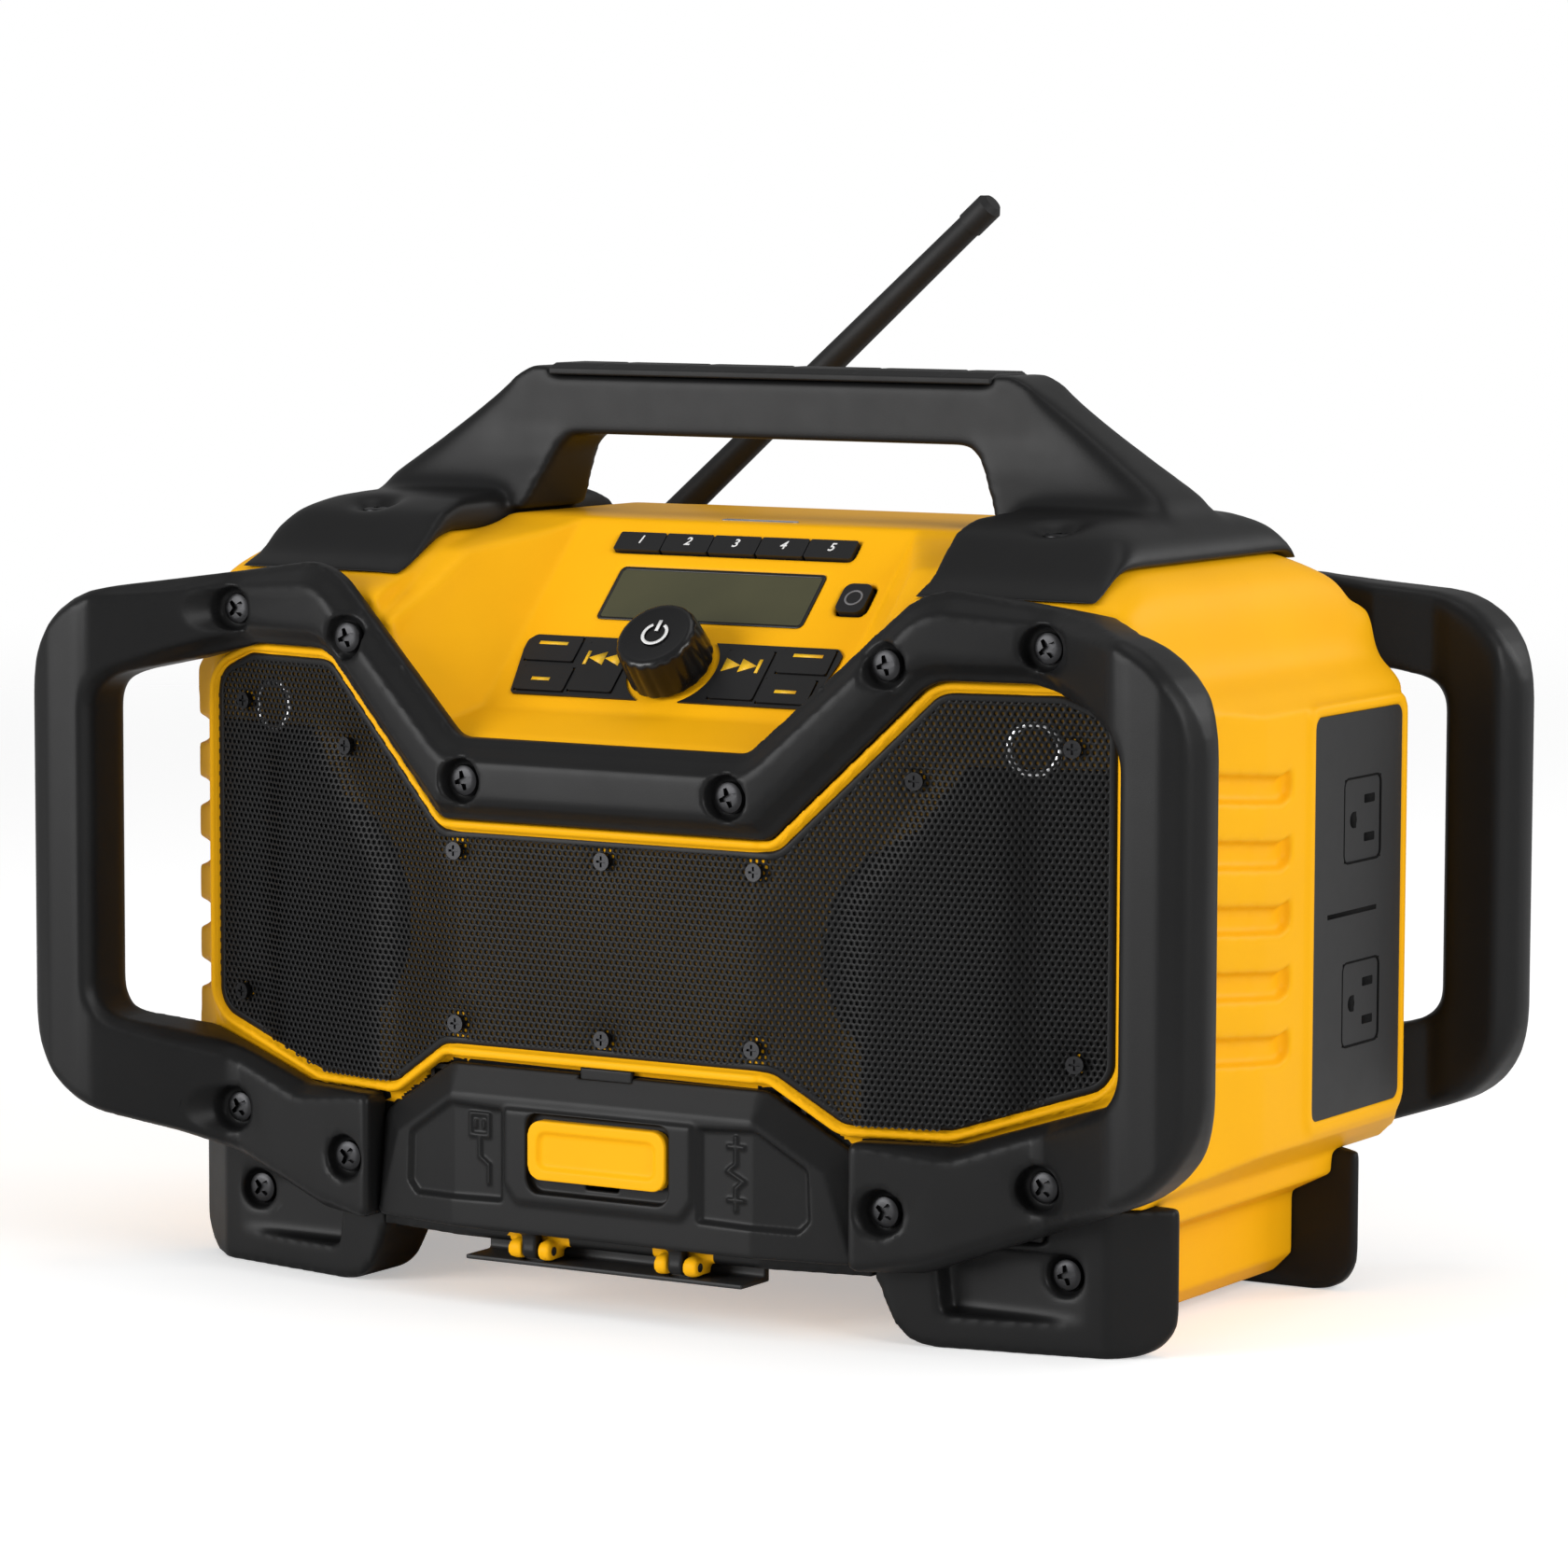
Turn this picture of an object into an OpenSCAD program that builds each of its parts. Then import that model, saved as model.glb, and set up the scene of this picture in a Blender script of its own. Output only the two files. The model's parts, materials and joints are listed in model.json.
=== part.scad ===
// Jobsite radio: yellow two-part housing in a black roll cage, with a carrying
// handle, a perforated speaker grille, a control panel, a storage door, two
// mains outlets, a folding antenna and a battery bay.
// X points right, Y to the rear, Z up. The origin is on the ground, in the
// middle of the radio, halfway between the front and rear side bars.

/* [Side bars] */
// Depth over the front and rear side bars
overall_d = 262; // [256:1:272]
// Distance of each side bar from the middle
bar_x = 208; // [206:1:214]
// Width of a side bar
bar_w = 27; // [25:1:30]
// Depth of a side bar
bar_d = 26; // [22:1:28]
// How far the front bars stand in front of the housing
front_lead = 23; // [21:0.5:26]
// How far the rear bars stand behind the housing
rear_trail = 34; // [30:0.5:36]

/* [Housing] */
// Width of the housing across its side walls
body_w = 385; // [383:1:388]
// Width of the upper hump of the housing
hump_w = 350; // [346:1:354]
// Width of the sole under the housing
sole_w = 330; // [326:1:334]
// Height of the sole above the ground
sole_z = 5; // [4:0.5:7]
// Half width of the raised belly between the side runners
belly_half = 139; // [130:1:145]
// Height of the belly over the ground
belly_z = 21.5; // [18:0.5:24]
// Height of the waist, where the sole meets the body
waist_z = 48; // [46:0.5:50]
// Height of the side walls' upper edge
side_top_z = 202; // [198:1:204]
// Height of the hump under the handle's shoulders
hump_z = 250; // [248:0.5:251]
// Height of the deck behind the control panel
deck_z = 255; // [254:0.5:257]
// Height of the ledge behind the deck
ledge_z = 230; // [228:0.5:231]
// Wall thickness of the housing
wall = 3; // [2.6:0.1:3.4]
// Place of the joint between front and rear housing
split_y = 6; // [4:0.5:9]
// Thickness of the gasket between the housings
gasket_t = 0.6; // [0.5:0.1:1.2]
// Depth of the grooves between the side ribs
rib_depth = 3.6; // [2.5:0.1:4]
// Height of one side rib
rib_h = 12.5; // [11:0.5:14]
// Distance from one side rib to the next
rib_pitch = 21; // [20:0.5:22]
// Height of the lowest side rib
rib_z = 105; // [103:1:107]

/* [Front shape] */
// Half the width of the straight middle of the front
flat_half = 57; // [55:0.5:59]
// Angle at which the cage sweeps back
cage_sweep = 11; // [10:0.5:12]
// Angle at which the grille sweeps back
grille_sweep = 13.2; // [12.5:0.1:14]
// Thickness of the cage in front of the housing
cage_t = 13.5; // [12:0.5:15]
// Distance of the cage's bend from the middle
bend_x = 154.5; // [152:0.5:157]
// Clearance between the cage and the grille rim
cage_gap = 0.4; // [0.3:0.1:0.6]

/* [Cage outline] */
// Height of the cage's top corner beside the handle
cage_top_z = 242.5; // [241:0.5:244]
// Height of the cage's outer upper corner
cage_corner_z = 227.5; // [225:0.5:230]
// Rounding of the cage's outer corners
cage_round = 38; // [30:1:42]
// Height of the cage's outer lower corner
cage_low_z = 65; // [62:0.5:68]
// Height of the cage's lower edge
cage_base_z = 25; // [24:0.5:26]
// Half the width of the V bar's upper edge
v_half = 54; // [52:0.5:56]
// Height of the V bar's upper edge
v_top_z = 188; // [187:0.5:189]
// Height of the side windows' upper corner
window_top_z = 201; // [199:0.5:203]
// Height of the side windows' lower corner
window_low_z = 88.5; // [86:0.5:91]
// Height of the rear cage's upper cross bar
rear_bar_h = 28; // [24:1:30]

/* [Grille] */
// Half the width of the grille
grille_half = 172.5; // [171:0.5:174]
// Height of the grille's lower edge in the middle
grille_low_z = 85.5; // [84.5:0.5:86.5]
// Height of the grille's upper edge in the middle
grille_mid_z = 157; // [156:0.5:158]
// Height of the grille's upper edge at the speakers
grille_top_z = 209.5; // [208:0.5:211]
// Height of the grille's lower edge at the speakers
grille_foot_z = 70; // [69.5:0.5:71]
// Thickness of the grille
grille_t = 1.5; // [1.2:0.1:1.8]
// Width of the rim round the grille
rim_w = 3; // [2.5:0.1:3.5]
// How far the rim stands in front of the grille
rim_rise = 1.8; // [1.2:0.1:2.4]
// Width of the ledge that carries the grille
ledge_w = 4; // [3:0.5:5]
// Depth of the speaker wall behind the grille
speaker_drop = 8; // [6:0.5:10]

/* [Speakers] */
// Distance of each woofer from the middle
woofer_x = 118.5; // [117:0.5:120]
// Height of the woofers
woofer_z = 125; // [123:1:127]
// Radius of a woofer's flange
woofer_r = 46; // [44:0.5:46.5]
// Radius of the opening in front of a woofer
woofer_hole_r = 41; // [38:0.5:41]
// Distance of each tweeter from the middle
tweeter_x = 143; // [141:0.5:145]
// Height of the tweeters
tweeter_z = 190; // [189:0.5:191]
// Radius of a tweeter's flange
tweeter_r = 15; // [14:0.5:16]

/* [Control panel] */
// Slope of the control panel
panel_tilt = 44; // [43:0.5:45]
// Half the width of the panel's floor
panel_half = 65; // [64:0.5:66]
// Width of the display window
lcd_w = 79; // [76:0.5:80]
// Height of the display window
lcd_h = 23; // [21:0.5:24]
// Distance between preset buttons
preset_pitch = 18.5; // [18:0.1:18.8]
// Height of a preset button
preset_h = 8; // [7:0.5:8.5]
// Gap round the buttons
key_gap = 0.35; // [0.3:0.05:0.5]
// Travel of the buttons
key_travel = 1; // [0.6:0.1:1.1]
// How far the buttons stand above the panel
key_rise = 1.2; // [0.8:0.1:1.6]
// Radius of the knob's base
knob_r = 15; // [14:0.5:15.5]
// Radius of the knob's face
knob_face_r = 11; // [10:0.5:12]
// Height of the knob
knob_h = 17.5; // [16:0.5:19]
// Radius of the encoder's shaft
shaft_r = 3; // [2.5:0.1:3.2]
// Running clearance of shafts and pins, on the radius
run_fit = 0.05; // [0.02:0.01:0.1]

/* [Storage door] */
// Half the width of the storage door
door_half = 91.4; // [90:0.2:91.4]
// Height of the storage door's lower edge
door_low_z = 26; // [25.5:0.5:27]
// Height of the storage door's upper edge
door_top_z = 80; // [79.5:0.1:80.2]
// Radius of the hinge pins
pin_r = 1.5; // [1.3:0.1:1.7]
// Width of the door latch
latch_w = 53; // [48:0.5:54]
// Height of the door latch
latch_h = 20; // [18:0.5:21]
// Travel of the door latch
latch_travel = 4; // [3:0.5:4.5]
// Half the width of the storage compartment
bay_half = 70; // [66:0.5:72]
// Depth of the storage compartment
bay_depth = 52; // [40:1:56]

/* [Handle] */
// Depth of the handle's grip
grip_d = 26; // [24:0.5:28]
// Height of the top of the handle
handle_top_z = 306; // [304:0.5:309]
// Height of the handle's window
handle_gap_z = 282; // [280:0.5:284]
// Half the width of the handle's window
handle_gap_half = 82; // [80:0.5:84]
// Thickness of the rubber on top of the grip
rubber_t = 4; // [3:0.5:5]
// Height of the handle's shoulders
shoulder_z = 262; // [260.5:0.5:263]
// Inner edge of the handle's shoulders
shoulder_in = 98; // [97:0.5:100]
// Outer edge of the handle's shoulders
shoulder_out = 165; // [163:0.5:167]

/* [Outlets] */
// Width of the outlet panel
outlet_w = 66; // [62:0.5:68]
// Height of the outlet panel
outlet_h = 132; // [128:1:134]
// Height of the outlet panel's middle
outlet_z = 130; // [129:0.5:131]
// Distance between the two receptacles
outlet_pitch = 60.7; // [58:0.1:62]
// Distance between the blade slots
blade_gap = 12.7; // [12.5:0.1:12.9]

/* [Feet] */
// Inner edge of a foot
foot_in = 94; // [93:0.5:96]
// Outer edge of a foot
foot_out = 188; // [186:0.5:190]
// Length of a foot from front to rear
foot_len = 22; // [20:0.5:25]
// Rounding of a foot's lower corners
foot_round = 15; // [12:0.5:16]

/* [Antenna] */
// Distance of the antenna from the middle
antenna_x = 110; // [109:0.5:112]
// Length of the antenna rod
antenna_len = 187; // [170:1:190]
// Radius of the rod at its base
antenna_r = 5.5; // [5:0.1:5.6]
// Radius of the rod at its tip
antenna_tip_r = 4.4; // [4:0.1:5]
// Lean of the antenna from upright
antenna_lean = 49; // [45:1:52]

/* [Battery bay] */
// Half the width of the battery bay
pack_half = 52; // [48:0.5:54]
// Height of the battery bay's floor
pack_low_z = 88; // [86:0.5:92]
// Height of the battery bay's roof
pack_top_z = 196; // [192:0.5:198]
// Depth of the battery bay
pack_depth = 62; // [56:1:66]
// Thickness of the battery door
pack_door_t = 6; // [5:0.5:8]

/* [Screws] */
// Radius of a cage screw's head
screw_head_r = 5.2; // [4.8:0.1:5.6]
// Height of a cage screw's head
screw_head_h = 3; // [2.6:0.1:3.4]
// Radius of a cage screw's shank
screw_r = 2.1; // [1.9:0.1:2.3]
// Depth of the counterbores in the cage
bore_depth = 6; // [5:0.5:6.5]
// Radius of a grille screw's head
small_head_r = 2.9; // [2.6:0.1:3.2]

/* [Hidden] */
$fn = 40;

yellow = "gold";
black = "dimgray";
big = 600;
eps = 0.01;
joint_gap = 0.4;
gasket_inset = 1.2;
touch_gap = 0.3;

// Planes of the front and the back
seat_y = -overall_d / 2 + front_lead;
back_y = overall_d / 2 - rear_trail;
body_mid_y = (seat_y + back_y) / 2;
face_y = seat_y - cage_t;
bar_in = bar_x - bar_w / 2;
bar_out = bar_x + bar_w / 2;
side_x = body_w / 2;
hump_x = hump_w / 2;
sole_x = sole_w / 2;
corner_x = side_x - 6.5;
front_corner_y = seat_y + 30;

function cage_at(x) = max(0, abs(x) - flat_half) * tan(cage_sweep);
function grille_at(x) = max(0, abs(x) - flat_half) * tan(grille_sweep);
grille_back_y = seat_y - 3;
grille_front_y = grille_back_y - grille_t;
speaker_y = grille_back_y + speaker_drop;

// Extrusion of an X-Z outline along Y, of a Y-Z outline along X
module along_y(y0, y1) {
    translate([0, y1, 0]) rotate([90, 0, 0]) linear_extrude(y1 - y0) children();
}
module along_x(x0, x1) {
    translate([x0, 0, 0]) rotate([90, 0, 90]) linear_extrude(x1 - x0) children();
}
module both_sides() {
    children();
    mirror([1, 0, 0]) children();
}
// Outline with its mirror image, from points that start and end on the middle line
module mirrored_outline(points) {
    left = [for (i = [len(points) - 1 : -1 : 0]) if (points[i][0] > 0)
        [-points[i][0], points[i][1]]];
    polygon(concat(points, left));
}
module round_out(r) {
    offset(r = r) offset(delta = -r) children();
}
module round_in(r) {
    offset(r = -r) offset(delta = r) children();
}
module rod_y(r, y0, y1) {
    translate([0, y1, 0]) rotate([90, 0, 0]) cylinder(r = r, h = y1 - y0);
}
module box(x, y, z) {
    translate([x[0], y[0], z[0]]) cube([x[1] - x[0], y[1] - y[0], z[1] - z[0]]);
}

// Plan band between a front line and a back line that both bend at flat_half
module swept_band(y0, y1, sweep_x, slope) {
    rise = (sweep_x - flat_half) * tan(slope);
    mirrored_outline([[0, y0], [flat_half, y0], [sweep_x, y0 + rise], [sweep_x, y1 + rise],
        [flat_half, y1], [0, y1]]);
}

// ---- Housing form ----

module body_front_outline() {
    mirrored_outline([[0, sole_z], [sole_x - 7, sole_z], [sole_x, sole_z + 7],
        [sole_x, waist_z - 15], [hump_x + 4, waist_z - 8], [hump_x + 5, waist_z],
        [side_x, waist_z + 10], [side_x, side_top_z - 3], [side_x - 3, side_top_z],
        [side_x - 8, side_top_z + 6], [hump_x + 3, side_top_z + 9],
        [hump_x, hump_z - 18], [hump_x - 3, hump_z - 10], [hump_x - 12, hump_z - 3],
        [hump_x - 26, hump_z], [shoulder_in, hump_z], [shoulder_in, deck_z + 9],
        [0, deck_z + 9]]);
}

module body_plan() {
    mirrored_outline([[0, seat_y], [flat_half, seat_y],
        [grille_half + 1.5, seat_y + cage_at(grille_half + 1.5)],
        [corner_x, front_corner_y], [side_x, -22], [side_x, back_y - 18],
        [side_x - 6, back_y - 7], [side_x - 20, back_y], [0, back_y]]);
}

// The panel's floor line starts at panel_y, panel_z
panel_y = seat_y + 28.9;
panel_z = v_top_z + 12.1;
panel_rise = deck_z - 0.7 - panel_z;
panel_end_y = panel_y + panel_rise / tan(panel_tilt);

module middle_profile() {
    polygon([[seat_y, sole_z + 17], [seat_y, v_top_z - 2], [seat_y + 3, v_top_z],
        [panel_y - 5.2, panel_z - 5.2 * tan(panel_tilt)], [panel_y, panel_z],
        [panel_end_y, deck_z - 0.7], [panel_end_y + 3, deck_z], [back_y - 38, deck_z],
        [back_y - 30, deck_z - 3], [back_y - 17.5, ledge_z + 1.5], [back_y - 15, ledge_z],
        [back_y, ledge_z - 2], [back_y, sole_z + 20], [back_y - 12, sole_z],
        [seat_y + 20, sole_z]]);
}

module shoulder_profile() {
    polygon([[seat_y, sole_z + 17], [seat_y, 226], [seat_y + 14, 234], [seat_y + 30, hump_z - 11],
        [seat_y + 48, hump_z - 2], [seat_y + 56, hump_z], [back_y - 57, hump_z],
        [back_y - 47, hump_z - 3], [back_y - 20, hump_z - 13], [back_y - 17.5, ledge_z + 1.5],
        [back_y - 15, ledge_z], [back_y, ledge_z - 2], [back_y, sole_z + 20],
        [back_y - 12, sole_z], [seat_y + 20, sole_z]]);
}

module flank_profile() {
    polygon([[seat_y, v_top_z - 20], [seat_y, 220], [seat_y + 22, 231], [seat_y + 45, 245],
        [seat_y + 78, deck_z - 3], [seat_y + 88, deck_z], [back_y - 60, deck_z],
        [back_y - 60, v_top_z - 20]]);
}

// Slanted sides of the panel's trough, as a prism along the panel's slope
module on_panel(x = 0, v = 0, w = 0) {
    translate([0, panel_y, panel_z]) rotate([panel_tilt, 0, 0]) translate([x, v, w]) children();
}
module flank_wedge(inset) {
    on_panel(0, 130) rotate([90, 0, 0]) linear_extrude(260) offset(delta = -inset)
        polygon([[panel_half - 16, -45], [panel_half - 4, -8], [panel_half, 0],
            [panel_half + 18, 18], [panel_half + 24, 26], [panel_half + 30, 60],
            [big, 60], [big, -45]]);
}

module body_form(inset) {
    flank_x = shoulder_in + 1;
    belly_x = belly_half + inset;
    difference() {
        intersection() {
            along_y(-big, big) offset(delta = -inset) body_front_outline();
            translate([0, 0, -1]) linear_extrude(big) offset(delta = -inset) body_plan();
            body_profiles(inset, flank_x);
        }
        box([-belly_x, belly_x], [-big, big], [-1, belly_z + inset]);
    }
}

// Side profiles of the middle, the shoulders, the step between them and the flanks
module body_profiles(inset, flank_x) {
    along_x(-shoulder_in + inset, shoulder_in - inset) offset(delta = -inset) middle_profile();
    both_sides() {
        along_x(shoulder_in - 1 + inset, side_x + 1) offset(delta = -inset) shoulder_profile();
        along_x(shoulder_in - 1 - inset, shoulder_in + inset) offset(delta = -inset)
            intersection() {
                middle_profile();
                shoulder_profile();
            }
        intersection() {
            along_x(panel_half - 16, flank_x - inset) offset(delta = -inset) flank_profile();
            flank_wedge(inset);
        }
    }
}

// Grooves between the side ribs, a top land and a bottom land
module side_grooves() {
    both_sides() intersection() {
        for (i = [0 : 4])
            translate([corner_x - 17, front_corner_y - 6,
                rib_z + (i - 1) * rib_pitch + rib_h / 2])
                cube([60, split_y - 3 - front_corner_y, rib_pitch - rib_h]);
        difference() {
            translate([0, 0, 1]) linear_extrude(big) square([big, big], center = true);
            linear_extrude(big) offset(delta = -rib_depth) body_plan();
        }
    }
}

module cavity() {
    difference() {
        body_form(wall);
        foot_space(wall);
        both_sides() intersection() {
            box([corner_x - 19, big], [seat_y, split_y + 2],
                [rib_z - rib_pitch, rib_z + 4 * rib_pitch]);
            difference() {
                cube([2 * big, 2 * big, 2 * big], center = true);
                linear_extrude(big) offset(delta = -wall - rib_depth) body_plan();
            }
        }
    }
}

// ---- Grille, rim and cage outlines ----

module grille_outline() {
    round_in(8) round_out(11) mirrored_outline([[0, grille_low_z], [62.5, grille_low_z],
        [86, grille_foot_z], [121, grille_foot_z], [grille_half, grille_foot_z + 16.5],
        [grille_half, grille_top_z - 7], [grille_half - 17, grille_top_z],
        [116.5, grille_top_z], [64, grille_mid_z], [0, grille_mid_z]]);
}

module cage_outer_outline() {
    rise = cage_top_z - cage_corner_z;
    round_out(cage_round) mirrored_outline([[0, cage_base_z], [115, cage_base_z],
        [bar_out, cage_low_z], [bar_out, cage_corner_z], [116, cage_top_z],
        [116 - rise * 0.2, cage_top_z], [v_half + 1, v_top_z], [0, v_top_z]]);
}

module side_window_outline() {
    round_out(9) polygon([[140, window_top_z + 14], [140, window_low_z - 18],
        [bar_in, window_low_z], [bar_in, window_top_z]]);
}

module cage_opening_outline() {
    offset(delta = rim_w + cage_gap) grille_outline();
    both_sides() side_window_outline();
}

module front_cage_outline() {
    difference() {
        cage_outer_outline();
        cage_opening_outline();
        translate([-door_half - joint_gap, -1])
            square([2 * (door_half + joint_gap), grille_low_z]);
    }
}

rear_open_half = 148;
rear_open_top = cage_corner_z + 10 - rear_bar_h;
rear_open_low = 62;

module rear_cage_outline() {
    difference() {
        round_out(cage_round - 2) mirrored_outline([[0, cage_base_z + 6],
            [115, cage_base_z + 6],
            [bar_out, cage_low_z], [bar_out, cage_corner_z], [150, cage_corner_z + 9.5],
            [0, cage_corner_z + 9.5]]);
        round_out(10) mirrored_outline([[0, rear_open_low], [rear_open_half - 20, rear_open_low],
            [rear_open_half, rear_open_low + 16], [rear_open_half, rear_open_top - 12],
            [rear_open_half - 12, rear_open_top], [0, rear_open_top]]);
        both_sides() round_out(9) polygon([[corner_x - 22, window_top_z + 8],
            [corner_x - 22, window_low_z - 9], [bar_in, window_low_z], [bar_in, window_top_z]]);
    }
}

module front_cage_plan() {
    bend_rise = (bend_x - flat_half) * tan(cage_sweep);
    root_x = grille_half;
    front = -overall_d / 2;
    mirrored_outline([[0, face_y], [flat_half, face_y], [bend_x, face_y + bend_rise],
        [bar_in - 1, front + 0.5], [bar_in + 4, front], [bar_out - 9, front],
        [bar_out, front + 5], [bar_out, front + bar_d - 5], [bar_out - 6, front + bar_d],
        [bar_in + 3, front + bar_d], [bar_in - 3, front + bar_d - 1],
        [root_x, seat_y + cage_at(root_x)], [flat_half, seat_y], [0, seat_y]]);
}

rear_face_y = back_y + cage_t;

module rear_cage_plan() {
    back = overall_d / 2;
    mirrored_outline([[0, rear_face_y], [bend_x, rear_face_y], [bar_in - 1, back - 0.5],
        [bar_in + 4, back], [bar_out - 9, back], [bar_out, back - 5],
        [bar_out, back - bar_d + 5], [bar_out - 6, back - bar_d], [bar_in + 3, back - bar_d],
        [bar_in - 3, back - bar_d + 1], [side_x - 20, back_y], [0, back_y]]);
}

// Front cage screws: distance from the middle and height
cage_points = [[154.5, 224.6], [102.6, 217.7], [50.4, 173.9], [154.5, 55.5], [103, 44.5]];
// Rear cage screws
rear_points = [[152, 222.5], [80, 223], [152, 52], [80, 46.5]];
grille_points = [[158.3, 192.7], [108.4, 180.9], [57.2, 150.1], [56.7, 93.1], [159.8, 93.5]];
grille_mid_points = [[0, 150], [0, 92]];

module at_cage_screws() {
    both_sides() for (p = cage_points)
        translate([p[0], face_y + cage_at(p[0]), p[1]]) rotate([90, 0, 0]) children();
}
module at_rear_screws() {
    both_sides() for (p = rear_points)
        translate([p[0], rear_face_y, p[1]]) rotate([-90, 0, 0]) children();
}
function on_slope(x) = x > flat_half + 3;
module at_grille_screws() {
    both_sides() for (p = grille_points)
        translate([p[0], grille_front_y + (on_slope(p[0]) ? grille_at(p[0]) : 0), p[1]])
            rotate([90, 0, on_slope(p[0]) ? grille_sweep : 0]) children();
    for (p = grille_mid_points)
        translate([p[0], grille_front_y, p[1]]) rotate([90, 0, 0]) children();
}

// A pan-head screw with a cross recess. Its head's top is at z = 0
module screw(head_r, head_h, shank_r, length) {
    difference() {
        translate([0, 0, -head_h]) cylinder(r = head_r, h = head_h);
        for (a = [0, 90]) rotate(a)
            translate([-head_r * 0.62, -head_r * 0.13, -head_h * 0.6])
                cube([head_r * 1.24, head_r * 0.26, head_h]);
    }
    translate([0, 0, -head_h - length]) cylinder(r = shank_r, h = length + eps);
}

cage_shank = 16;
shank_fit = 0.15;
boss_r = 5;

// ---- Feet ----

foot_top_z = waist_z - 12;
foot_step_x = 150;
foot_end_y = seat_y + 17 + foot_len;
foot_screw_x = 155.5;
foot_screw_z = foot_top_z - 10.3;
foot_face_y = seat_y + cage_at(foot_screw_x) + joint_gap;
lug_r = 6;
lug_len = 8;

module front_and_rear() {
    children();
    translate([0, 2 * body_mid_y, 0]) mirror([0, 1, 0]) children();
}

// Space that the feet take from the housing
module foot_space(extra) {
    front_and_rear() both_sides() {
        box([foot_in - touch_gap - extra, big], [-big, foot_end_y + touch_gap + extra],
            [-1, foot_top_z + extra]);
        box([foot_step_x - touch_gap - extra, big], [-big, foot_end_y + touch_gap + extra],
            [-1, waist_z + extra]);
    }
}

module foot() {
    toe_x = 170;
    difference() {
        intersection() {
            along_y(-big, big) union() {
                round_out(foot_round) polygon([[foot_in, foot_top_z], [foot_in, 20],
                    [foot_in + 10, 0],
                    [foot_out, 0], [foot_out, foot_top_z]]);
                translate([foot_in, foot_top_z - foot_round - 1])
                    square([foot_out - foot_in, foot_round + 1]);
                translate([foot_step_x, foot_top_z - 1])
                    square([foot_out - foot_step_x, waist_z - foot_top_z + 1]);
            }
            linear_extrude(waist_z) polygon([
                [foot_in, seat_y + cage_at(foot_in) + joint_gap],
                [toe_x, seat_y + cage_at(toe_x) + joint_gap],
                [foot_out, seat_y + cage_at(toe_x) + 14], [foot_out, foot_end_y],
                [foot_in, foot_end_y]]);
        }
        translate([foot_screw_x, 0, foot_screw_z]) {
            rod_y(screw_head_r + 1.5, foot_face_y - 12, foot_face_y + bore_depth);
            rod_y(screw_r + shank_fit, foot_face_y, foot_end_y);
            rod_y(lug_r + touch_gap, foot_end_y - lug_len - touch_gap, foot_end_y + 1);
        }
        along_y(foot_face_y - 20, foot_face_y + 1.5) offset(delta = -7) round_out(8) polygon([
            [foot_in + 12, foot_top_z + 4], [foot_in + 16, 4], [toe_x + 2, 4],
            [toe_x + 2, foot_top_z + 4]]);
    }
}

module feet() color(black) front_and_rear() both_sides() foot();

module foot_lugs() {
    front_and_rear() both_sides() translate([foot_screw_x, 0, foot_screw_z])
        rod_y(lug_r, foot_end_y - lug_len, foot_end_y + 2);
}
module foot_pilots() {
    front_and_rear() both_sides() translate([foot_screw_x, 0, foot_screw_z])
        rod_y(screw_r + shank_fit, foot_end_y - lug_len - 1, foot_end_y - 1);
}

// ---- Speakers ----

speaker_wall = 4;
module at_woofers() {
    both_sides() translate([woofer_x, speaker_y + grille_at(woofer_x), woofer_z])
        rotate([90, 0, grille_sweep]) children();
}
module at_tweeters() {
    both_sides() translate([tweeter_x, speaker_y + grille_at(tweeter_x), tweeter_z])
        rotate([90, 0, grille_sweep]) children();
}
speaker_back = speaker_wall * cos(grille_sweep) + 0.05;
flange_t = 3;
basket_r = woofer_r - 6;
basket_low_r = 24;
basket_depth = 24;
magnet_r = 27;
magnet_h = 14;

module woofer_baskets() color("dimgray") at_woofers() translate([0, 0, -speaker_back])
    difference() {
        rotate_extrude($fn = 64) polygon([[basket_r - 1.6, 0], [woofer_r, 0],
            [woofer_r, -flange_t], [basket_r, -flange_t], [basket_low_r, -basket_depth],
            [basket_low_r, -basket_depth - 2], [10.5, -basket_depth - 2],
            [10.5, -basket_depth], [basket_low_r - 1.6, -basket_depth],
            [basket_r - 1.6, -flange_t]]);
        for (a = [0 : 90 : 270]) rotate(a + 45)
            translate([basket_low_r + 2, -8, -basket_depth + 4])
                cube([24, 16, basket_depth - 9]);
    }

module woofer_magnets() color("gray") at_woofers()
    translate([0, 0, -speaker_back - basket_depth - 2 - magnet_h]) {
        cylinder(r = magnet_r, h = magnet_h, $fn = 64);
        translate([0, 0, -3]) cylinder(r = magnet_r - 4, h = 3 + eps, $fn = 64);
    }

module woofer_cones() color("black") at_woofers() translate([0, 0, -speaker_back])
    rotate_extrude($fn = 64) {
        cone_r = basket_r - 2;
        polygon([[cone_r, -0.4], [cone_r, -1.6], [cone_r - 4, -1.9], [cone_r - 6, -3.2],
            [9.8, -17.2], [9.8, -23], [8.8, -23], [8.8, -16], [0, -12.4], [0, -11.2],
            [10, -14.8], [cone_r - 6, -1.7], [cone_r - 4.6, 0.6], [cone_r - 1.6, 0.6]]);
    }

module tweeters() color("dimgray") at_tweeters() {
    translate([0, 0, -speaker_back - 3]) cylinder(r = tweeter_r, h = 3);
    translate([0, 0, -speaker_back - 14]) cylinder(r = tweeter_r - 2.5, h = 11 + eps);
    translate([0, 0, -speaker_back - eps]) rotate_extrude()
        polygon([[0, 0], [10, 0], [10, 1.6], [8, 3], [5, 3.8], [0, 4.2]]);
}

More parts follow.
